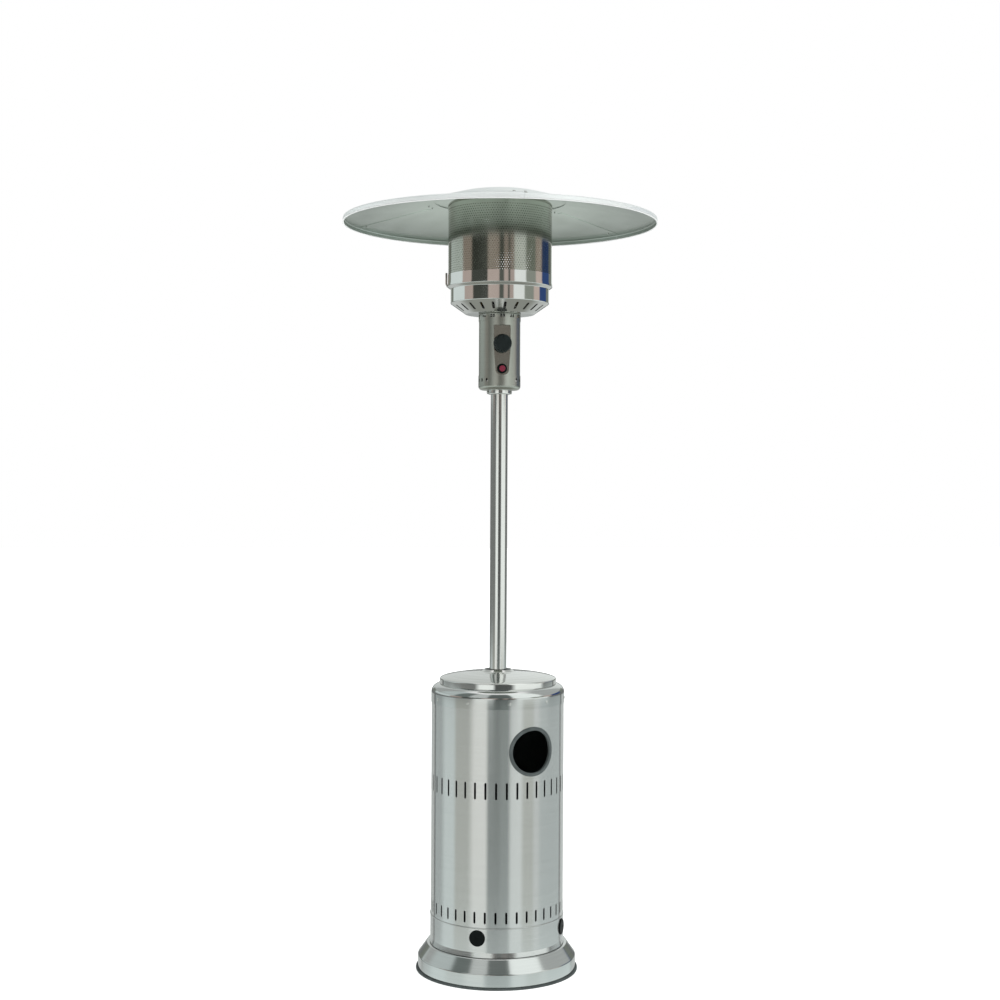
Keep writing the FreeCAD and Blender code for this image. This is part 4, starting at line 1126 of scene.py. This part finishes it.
class HEATER_OT_burner_pan(bpy.types.Operator):
    """Spin the burner pan and cut the slots in its cone"""

    bl_idname = "heater.burner_pan"
    bl_label = "Burner pan"

    def execute(self, context):
        sizes = context.scene.heater_head
        radius, foot = sizes.pan_radius, sizes.pan_foot
        floor_radius, cone_rise = 96 * MM, 30 * MM
        drum = foot + 70 * MM
        rim = radius + PAN_RIM
        corners = [
            (30 * MM, foot),
            (floor_radius, foot, 3 * MM),
            (radius, foot + cone_rise, 3 * MM),
            (radius, drum, 2 * MM),
            (rim, drum + 6.5 * MM, 2 * MM),
            (rim, drum + 13 * MM),
        ]
        piece = turned("slotted_burner_pan", corners)
        thicken(piece, 1.0 * MM, drum)
        run = radius - floor_radius
        slope, first = math.atan2(cone_rise, run), math.radians(-1)
        slot = slot_cutter("pan_slots", width=7.5 * MM, height=29 * MM, depth=6 * MM)
        place(slot, (0, -floor_radius - run / 2, foot + cone_rise / 2), -slope, first)
        copies_round(slot, sizes.pan_slots)
        cut(piece, slot)
        finish_piece(piece, "polished_steel", "base", "polished_steel", "burner_pan")
        return {"FINISHED"}


class HEATER_OT_emitter(bpy.types.Operator):
    """Roll the emitter's band, its fine perforated wall, its cap and its lug"""

    bl_idname = "heater.emitter"
    bl_label = "Emitter"

    def execute(self, context):
        sizes = context.scene.heater_head
        wall, radius = 0.8 * MM, sizes.band_radius
        band = tube("polished_emitter_band", radius, *node_span("emitter_ring"), wall)
        finish_piece(band, "polished_steel", "base", "polished_steel", "emitter_ring")

        screen = self.perforated_wall(sizes, *node_span("emitter_screen"), wall)
        finish_piece(screen, "emitter_steel", "base", "polished_steel", "emitter_screen")

        cap_foot = node_foot("emitter_top")
        corners = [(radius, cap_foot), (radius, sizes.emitter_top, 10 * MM), (0, sizes.emitter_top)]
        cap = turned("emitter_cap", corners)
        thicken(cap, wall, cap_foot)
        finish_piece(cap, "emitter_steel", "base", "polished_steel", "emitter_top")

        inner = sizes.pan_radius + PAN_RIM + FIT
        outer = inner + 5.5 * MM
        low, high = node_span("emitter_lug")
        corners = [(inner, low), (outer, low + 11 * MM), (outer, high, 2 * MM), (inner, high)]
        lug = prism("emitter_side_lug", corners, -9 * MM, 9 * MM)
        soften(lug, 0.8 * MM)
        place(lug, azimuth=LUG_AZIMUTH - RIGHT_ANGLE)
        finish_piece(lug, "polished_steel", "base", "polished_steel", "emitter_lug")
        return {"FINISHED"}

    def perforated_wall(self, sizes, foot, top, wall):
        """Cylinder of triangles whose inner corners are bevelled into holes."""
        pitch = (top - foot) / (sizes.mesh_rows + 1)

        def is_upright(edge):
            return abs(edge.verts[0].co.z - edge.verts[1].co.z) > wall

        def in_odd_row(corner):
            return round((corner.co.z - foot) / pitch) % 2 == 1

        def is_inner(corner):
            return foot + pitch / 2 < corner.co.z < top - pitch / 2

        def is_hole(face):
            row = (face.calc_center_median().z - foot) / pitch
            return abs(row - round(row)) < 0.1

        radius = node_radius("emitter_screen")
        piece = rod("perforated_emitter", radius, foot, top, sizes.mesh_columns, "NOTHING")
        open_edit(piece)
        pick(piece, "EDGE", is_upright)
        bpy.ops.mesh.subdivide(number_cuts=sizes.mesh_rows)
        pick(piece, "VERT", in_odd_row)
        half_step = FULL_TURN / sizes.mesh_columns / 2
        bpy.ops.transform.rotate(value=half_step, orient_axis="Z", center_override=(0, 0, 0))
        bpy.ops.mesh.select_all(action="SELECT")
        bpy.ops.mesh.quads_convert_to_tris(quad_method="SHORTEST_DIAGONAL")
        pick(piece, "VERT", is_inner)
        bpy.ops.mesh.bevel(offset_type="PERCENT", offset_pct=HOLE_PERCENT, segments=1, affect="VERTICES")
        pick(piece, "FACE", is_hole)
        bpy.ops.mesh.delete(type="FACE")
        close_edit()
        thicken(piece, wall, (foot + top) / 2)
        return piece


# Reflector

LEAF_NAMES = ("front_right", "rear", "front_left")
LEAF_COUNT = len(LEAF_NAMES)
LEAF_STEPS = 96
LEAF_LIFT = 36.0 * MM
BELOW_REFLECTOR = 1.0


def leaf_height(sizes, radius):
    """Height of the leaves' lower face."""
    return bpy.context.scene.heater_head.emitter_top + LEAF_LIFT - sizes.slope * radius


def sheet_rise(sizes):
    return sizes.sheet * math.hypot(1, sizes.slope)


def open_chain(piece, first, last):
    """Take the face and the closing edge off an outline, which leaves the chain of its edges."""
    bpy.ops.mesh.delete(type="ONLY_FACE")

    def closes_chain(edge):
        ends = [end.co for end in edge.verts]
        return all(min((end - tip).length for end in ends) < NEAR for tip in (first, last))

    pick(piece, "EDGE", closes_chain)
    bpy.ops.mesh.delete(type="EDGE")


def swept(name, corners, start, sweep, steps):
    """Sheet swept about the axis from a chain of (radius, height, fillet) corners."""
    piece = outline(name, corners)
    open_edit(piece)
    if len(corners) > 2:
        open_chain(piece, upright(corners[0]), upright(corners[-1]))
    sweep_round(piece, start, sweep, steps)
    return piece


def sweep_round(piece, start, sweep, steps):
    """In edit mode, sweep a section about the axis and turn it to where the sweep starts."""
    bpy.ops.mesh.select_mode(type="VERT")
    bpy.ops.mesh.select_all(action="SELECT")
    bpy.ops.mesh.spin(steps=steps, angle=sweep, center=(0, 0, 0), axis=(0, 0, 1))
    bpy.ops.mesh.select_all(action="SELECT")
    bpy.ops.mesh.remove_doubles(threshold=NEAR / 4)
    close_outwards()
    aim(piece, start + sweep / 2)


class HEATER_OT_reflector_leaves(bpy.types.Operator):
    """Press the reflector's three leaves with their lips and seam flanges"""

    bl_idname = "heater.reflector_leaves"
    bl_label = "Reflector leaves"

    def execute(self, context):
        sizes = context.scene.heater_reflector
        for index, name in enumerate(LEAF_NAMES):
            leaf = self.leaf("reflector_leaf_" + name, sizes, index * FULL_TURN / LEAF_COUNT)
            node = "reflector_petal_" + name
            finish_piece(leaf, "reflector_outside", "base", "reflector_aluminium", node)
        return {"FINISHED"}

    def leaf(self, name, sizes, start):
        inside = sizes.radius - sizes.sheet
        inner = sizes.crown_radius - 32 * MM
        lip = leaf_height(sizes, inside) - sizes.lip
        gap = 0.4 * MM / sizes.radius
        sweep = FULL_TURN / LEAF_COUNT - gap
        corners = [
            (inner, leaf_height(sizes, inner)),
            (inside, leaf_height(sizes, inside), 4 * MM),
            (inside, lip),
        ]
        sheet = swept(name, corners, start, sweep, LEAF_STEPS)
        add_finishes(sheet, "reflector_outside", "reflector_aluminium")
        thicken(sheet, sizes.sheet, BELOW_REFLECTOR, outwards=True, second_finish=True)

        bead_radius = 1.8 * MM
        deselect_all()
        bpy.ops.mesh.primitive_circle_add(vertices=12, radius=bead_radius)
        bead = bpy.context.object
        place(bead, (inside, 0, lip + bead_radius), RIGHT_ANGLE)
        open_edit(bead)
        bpy.ops.mesh.edge_face_add()
        sweep_round(bead, start, sweep, LEAF_STEPS)

        lap = math.radians(2.2)
        ends = (sizes.crown_radius + 2 * MM, inside - 12 * MM)
        chain = [(radius, leaf_height(sizes, radius) - sheet_rise(sizes)) for radius in ends]
        flange = swept("flange", chain, start + sweep - lap, 2 * lap + gap, steps=8)
        thicken(flange, sizes.sheet, BELOW_REFLECTOR, outwards=True)
        add_finishes(flange, "reflector_aluminium")
        return join([sheet, bead, flange])


class HEATER_OT_reflector_crown(bpy.types.Operator):
    """Spin the crown in the middle of the reflector"""

    bl_idname = "heater.reflector_crown"
    bl_label = "Reflector crown"

    def execute(self, context):
        sizes = context.scene.heater_reflector
        lift = 2 * sheet_rise(sizes)
        step = sizes.crown_radius - 28 * MM
        step_height = leaf_height(sizes, step) + lift
        corners = [
            (sizes.crown_radius, leaf_height(sizes, sizes.crown_radius) + lift),
            (step, step_height, 6 * MM),
            (step - 12 * MM, step_height + 6.5 * MM, 20 * MM),
            (112 * MM, sizes.crown_top, 25 * MM),
            (0, sizes.crown_top),
        ]
        piece = turned("reflector_crown_dome", corners)
        add_finishes(piece, "reflector_outside", "reflector_aluminium")
        thicken(piece, sizes.sheet, BELOW_REFLECTOR, second_finish=True)
        finish_piece(piece, "reflector_outside", "base", "reflector_aluminium", "reflector_crown")
        return {"FINISHED"}


class HEATER_OT_reflector_fixings(bpy.types.Operator):
    """Turn the screws and cap nuts of the reflector"""

    bl_idname = "heater.reflector_fixings"
    bl_label = "Reflector fixings"

    def execute(self, context):
        sizes = context.scene.heater_reflector
        crown_circle = sizes.crown_radius - 9 * MM
        seam_circle = sizes.radius - 25.5 * MM
        fixings = {
            "crown_screws": join([
                self.screw("crown_fixings", sizes, crown_circle, sizes.sheet, degrees)
                for degrees in (2.2, 11.0)]),
            "seam_screws": self.screw("seam_fixings", sizes, seam_circle, 0, 1.1),
            "standoff_nuts": self.cap_nut(sizes),
        }
        for node, piece in fixings.items():
            copies_round(piece, LEAF_COUNT)
            finish_piece(piece, "zinc_plated_steel", "base", "zinc_plated_steel", node)
        return {"FINISHED"}

    def screw(self, name, sizes, circle, lift, degrees):
        piece = round_head_screw(name, head=4.2 * MM, rise=2.4 * MM, shank=2 * MM, reach=4.5 * MM)
        place(piece, (0, 0, lift))
        seat = leaf_height(sizes, circle) + sheet_rise(sizes)
        place(piece, (0, -circle, seat), math.atan(sizes.slope), math.radians(degrees))
        return piece

    def cap_nut(self, sizes):
        across_flats, height, dome_radius = 10 * MM, 4.2 * MM, 4.6 * MM
        top = height + 2.4 * MM
        nut = rod("cap_nuts", across_flats / math.sqrt(3), 0, height, steps=6)
        soften(nut, 0.4 * MM)
        corners = [(dome_radius, height), (dome_radius, top, 2.0 * MM), (0, top)]
        nut = join([nut, turned("dome", corners, capped=True, steps=32)])
        circle, first = 75 * MM, math.radians(60)
        place(nut, (0, -circle, sizes.crown_top), azimuth=first)
        return nut


# Carried-over solids

CARRIED_FINISHES = {
    "dark_painted_steel": (
        "base_plate", "strut_right", "strut_left", "strut_rear", "strut_feet", "post_bracket"),
    "zinc_plated_steel": ("base_bolts", "base_nuts", "strut_bolts", "strut_nuts", "set_screws", "standoffs"),
    "cast_aluminium": ("socket_plug", "gas_valve", "burner_head", "mixer_tube"),
    "brass": ("gas_inlet_fitting", "gas_feed_pipe", "gas_jet", "pilot_tube", "valve_spindle", "thermocouple"),
    "concrete": ("ballast_block",),
    "black_plastic": ("guide_bush", "igniter_body", "tilt_switch", "spindle_bush"),
    "black_rubber": ("ignition_lead",),
    "ceramic": ("spark_electrode",),
}


class HEATER_OT_carried_finishes(bpy.types.Operator):
    """Give every solid that is shown as it is its finish"""

    bl_idname = "heater.carried_finishes"
    bl_label = "Finishes of carried solids"

    def execute(self, context):
        for name, nodes in CARRIED_FINISHES.items():
            for node in nodes:
                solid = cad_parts[node]
                for holder in solid.material_slots:
                    holder.material = finish(name)
        bare = [
            name for name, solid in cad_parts.items()
            if not solid.hide_render and not any(name in nodes for nodes in CARRIED_FINISHES.values())
        ]
        if bare:
            raise RuntimeError("no finish for " + ", ".join(sorted(bare)))
        return {"FINISHED"}


# Stage

WARM = (0.99, 1.0, 0.96)
BEIGE = (0.96, 1.0, 0.92)
PINK = (1.0, 0.84, 0.76)
COOL = (0.90, 1.0, 0.99)
NEUTRAL = (0.95, 1.0, 0.98)
OLIVE = (0.88, 0.96, 0.84)
SLATE = (0.87, 1.0, 0.96)
NIGHT = (0.18, 0.36, 1.0)

# Panels of the studio, as (from, to, brightness, tint): degrees round from the camera to its right
BASE_PANELS = (
    (-180, -140, 0.62, NEUTRAL), (-110, -20, 0.96, COOL), (-10, 14, 0.80, COOL), (24, 130, 1.0, COOL),
    (150, 180, 0.62, NEUTRAL),
)
LOW_PANELS = (
    (-180, -143, 0.55, NEUTRAL), (-141, -137, 0.12, NEUTRAL), (-135, -114, 0.50, COOL),
    (-102, -82, 0.83, COOL), (-75, -52, 0.55, BEIGE), (-41, -20, 0.96, WARM),
    (-15, 2, 0.22, SLATE), (8, 18, 0.30, SLATE), (24, 40, 0.88, NEUTRAL),
    (47, 62, 0.55, BEIGE), (68, 74, 0.72, NEUTRAL), (82, 136, 0.57, COOL),
    (138, 141, 0.15, NEUTRAL), (144, 180, 0.65, NEUTRAL),
)
MID_PANELS = (
    (-180, -46, 0.22, NEUTRAL), (-36, -10, 1.15, NEUTRAL), (-4, 26, 0.10, NEUTRAL),
    (36, 92, 1.15, NEUTRAL), (102, 180, 0.20, NEUTRAL),
)
HIGH_PANELS = (
    (-180, -160, 0.70, NEUTRAL), (-156, -140, 0.25, OLIVE), (-137, -91, 0.85, COOL), (-89, -66, 0.50, PINK),
    (-64, -28, 0.07, OLIVE), (-26, -2, 0.52, PINK), (0, 8, 0.12, OLIVE), (10, 18, 0.50, PINK),
    (19, 22, 0.10, OLIVE), (23, 31, 0.46, PINK), (33, 58, 0.95, NEUTRAL), (61, 84, 0.34, OLIVE),
    (88, 104, 0.62, PINK), (108, 135, 0.22, NIGHT), (140, 156, 0.25, OLIVE),
    (160, 180, 0.84, NEUTRAL),
)
TOP_PANELS = (
    (-180, -155, 0.70, NEUTRAL), (-150, -125, 0.50, NEUTRAL), (-115, -85, 0.68, COOL),
    (-79, -53, 0.22, SLATE), (-48, -20, 0.72, NEUTRAL), (-16, 24, 0.17, SLATE), (28, 80, 1.25, NEUTRAL),
    (86, 150, 0.55, NEUTRAL), (155, 180, 0.84, NEUTRAL),
)
ZENITH = (1.3, 1.3, 1.3, 1)
NADIR = (0.31, 0.325, 0.295, 1)
BACKDROP = (1.0, 1.0, 1.0, 1)
FLOOR_TONE = (0.9, 0.9, 0.9)
FLOOR_GLOW = 0.72

# Rings of panels from the floor up, each with the elevations between which it fades in
PANEL_RINGS = (
    (-50, -30, BASE_PANELS), (-16.2, -15.8, LOW_PANELS), (-6.5, -5, MID_PANELS), (2.5, 4, HIGH_PANELS),
    (11.5, 14, TOP_PANELS),
)
ZENITH_FADE = (55, 75)


def panel_ramp(tree, azimuth, panels):
    """Ring of soft panels, as a colour for each direction round the object."""
    ramp = add_node(tree, "ValToRGB", {"Fac": azimuth})
    stops = ramp.color_ramp.elements
    edges = []
    for start, end, brightness, shade in panels:
        tone = [channel * brightness for channel in shade]
        edges += [(start, tone), (end, tone)]
    while len(stops) < len(edges):
        stops.new(1.0)
    for stop, (degrees, tone) in zip(stops, edges):
        stop.position = degrees / 360 + 0.5
        stop.color = (*tone, 1)
    return ramp.outputs["Color"]


def math_node(tree, operation, first, second=0.0):
    return add_node(tree, "Math", {0: first, 1: second}, operation=operation).outputs["Value"]


def fade(tree, height, low, high, below, above):
    """Blend two lights by the height of the direction, between two elevations in degrees."""
    ends = [math.sin(math.radians(degrees)) for degrees in (low, high)]
    span = {"Value": height, "From Min": ends[0], "From Max": ends[1]}
    rise = add_node(tree, "MapRange", span, interpolation_type="SMOOTHSTEP").outputs["Result"]
    return add_node(tree, "Mix", {"Factor": rise, "A": below, "B": above}, data_type="RGBA").outputs["Result"]


def studio_world(camera_azimuth):
    """White surroundings for the camera, and soft panels all round for the metal to mirror."""
    world = bpy.data.worlds.new("studio")
    world.use_nodes = True
    bpy.context.scene.world = world
    tree = world.node_tree
    tree.nodes.clear()
    generated = add_node(tree, "TexCoord").outputs["Generated"]
    direction = add_node(tree, "SeparateXYZ", {"Vector": generated}).outputs
    height = direction["Z"]
    towards_front = math_node(tree, "MULTIPLY", direction["Y"], -1.0)
    turn = math_node(tree, "ARCTAN2", direction["X"], towards_front)
    from_camera = math_node(tree, "SUBTRACT", turn, camera_azimuth)
    share = math_node(tree, "MULTIPLY", from_camera, 1 / FULL_TURN)
    azimuth = math_node(tree, "FRACT", math_node(tree, "ADD", share, 0.5))
    light = NADIR
    for low, high, panels in PANEL_RINGS:
        light = fade(tree, height, low, high, light, panel_ramp(tree, azimuth, panels))
    light = fade(tree, height, *ZENITH_FADE, light, ZENITH)
    lit = add_node(tree, "Background", {"Color": light}).outputs["Background"]
    plain = add_node(tree, "Background", {"Color": BACKDROP}).outputs["Background"]
    seen = add_node(tree, "LightPath").outputs["Is Camera Ray"]
    chosen = add_node(tree, "MixShader", {"Fac": seen, 1: lit, 2: plain}).outputs["Shader"]
    add_node(tree, "OutputWorld", {"Surface": chosen})


class HEATER_OT_stage(bpy.types.Operator):
    """Lay the pale floor, light the studio and set up the camera"""

    bl_idname = "heater.stage"
    bl_label = "Stage"

    def execute(self, context):
        sizes = context.scene.heater_stage
        deselect_all()
        bpy.ops.mesh.primitive_plane_add(size=sizes.floor_size)
        floor = new_object("studio_floor")
        open_edit(floor)
        bpy.ops.mesh.subdivide(number_cuts=7)
        close_edit()
        floor.visible_glossy = False
        material, tree, shader = new_finish("pale_floor", FLOOR_TONE, 0.0, 0.9)
        feed(tree, shader, {"Emission Color": (1, 1, 1, 1), "Emission Strength": FLOOR_GLOW})
        floor.data.materials.append(material)

        studio_world(sizes.camera_azimuth)

        lens = bpy.data.cameras.new("photo_camera")
        lens.sensor_fit = "HORIZONTAL"
        lens.sensor_width = 36
        lens.lens = sizes.lens
        camera = bpy.data.objects.new("photo_camera", lens)
        context.scene.collection.objects.link(camera)
        stand = Vector((math.sin(sizes.camera_azimuth), -math.cos(sizes.camera_azimuth), 0))
        stand *= sizes.camera_distance
        stand.z = sizes.camera_height
        view = Matrix.Rotation(sizes.camera_azimuth - sizes.camera_yaw, 4, "Z")
        view @= Matrix.Rotation(RIGHT_ANGLE - sizes.camera_pitch, 4, "X")
        view @= Matrix.Rotation(sizes.camera_roll, 4, "Z")
        camera.matrix_world = Matrix.Translation(stand) @ view
        context.scene.camera = camera
        context.scene.view_settings.view_transform = "Standard"
        return {"FINISHED"}


PIECE_OPERATORS = (
    HEATER_OT_base_skirt,
    HEATER_OT_base_trim,
    HEATER_OT_bottle_shell,
    HEATER_OT_shell_collar,
    HEATER_OT_band_caps,
    HEATER_OT_port_ring,
    HEATER_OT_shoulder_ring,
    HEATER_OT_shoulder_screws,
    HEATER_OT_housing_lid,
    HEATER_OT_pole,
    HEATER_OT_control_housing,
    HEATER_OT_control_panel,
    HEATER_OT_control_knob,
    HEATER_OT_igniter,
    HEATER_OT_burner_pan,
    HEATER_OT_emitter,
    HEATER_OT_reflector_leaves,
    HEATER_OT_reflector_crown,
    HEATER_OT_reflector_fixings,
    HEATER_OT_carried_finishes,
    HEATER_OT_stage,
)

SETTINGS = {
    "heater_base": HeaterBaseSizes,
    "heater_housing": HeaterHousingSizes,
    "heater_head": HeaterHeadSizes,
    "heater_reflector": HeaterReflectorSizes,
    "heater_colours": HeaterColours,
    "heater_stage": HeaterStage,
}


class HEATER_PT_sidebar(bpy.types.Panel):
    """Settings and steps of the heater"""

    bl_idname = "HEATER_PT_sidebar"
    bl_label = "Gas patio heater"
    bl_space_type = "VIEW_3D"
    bl_region_type = "UI"
    bl_category = "Heater"

    def draw(self, context):
        for name, group in SETTINGS.items():
            box = self.layout.box()
            box.label(text=group.__doc__)
            for field in group.__annotations__:
                box.prop(getattr(context.scene, name), field)
        for operator in PIECE_OPERATORS:
            self.layout.operator(operator.bl_idname)


CLASSES = (*SETTINGS.values(), *PIECE_OPERATORS, HEATER_PT_sidebar)


def register():
    for entry in CLASSES:
        bpy.utils.register_class(entry)
    for name, group in SETTINGS.items():
        setattr(bpy.types.Scene, name, PointerProperty(type=group))


def unregister():
    for name in SETTINGS:
        delattr(bpy.types.Scene, name)
    for entry in reversed(CLASSES):
        bpy.utils.unregister_class(entry)


def main():
    register()
    deselect_all()
    for operator in PIECE_OPERATORS:
        group, name = operator.bl_idname.split(".")
        getattr(getattr(bpy.ops, group), name)()


if __name__ == "__main__":
    main()
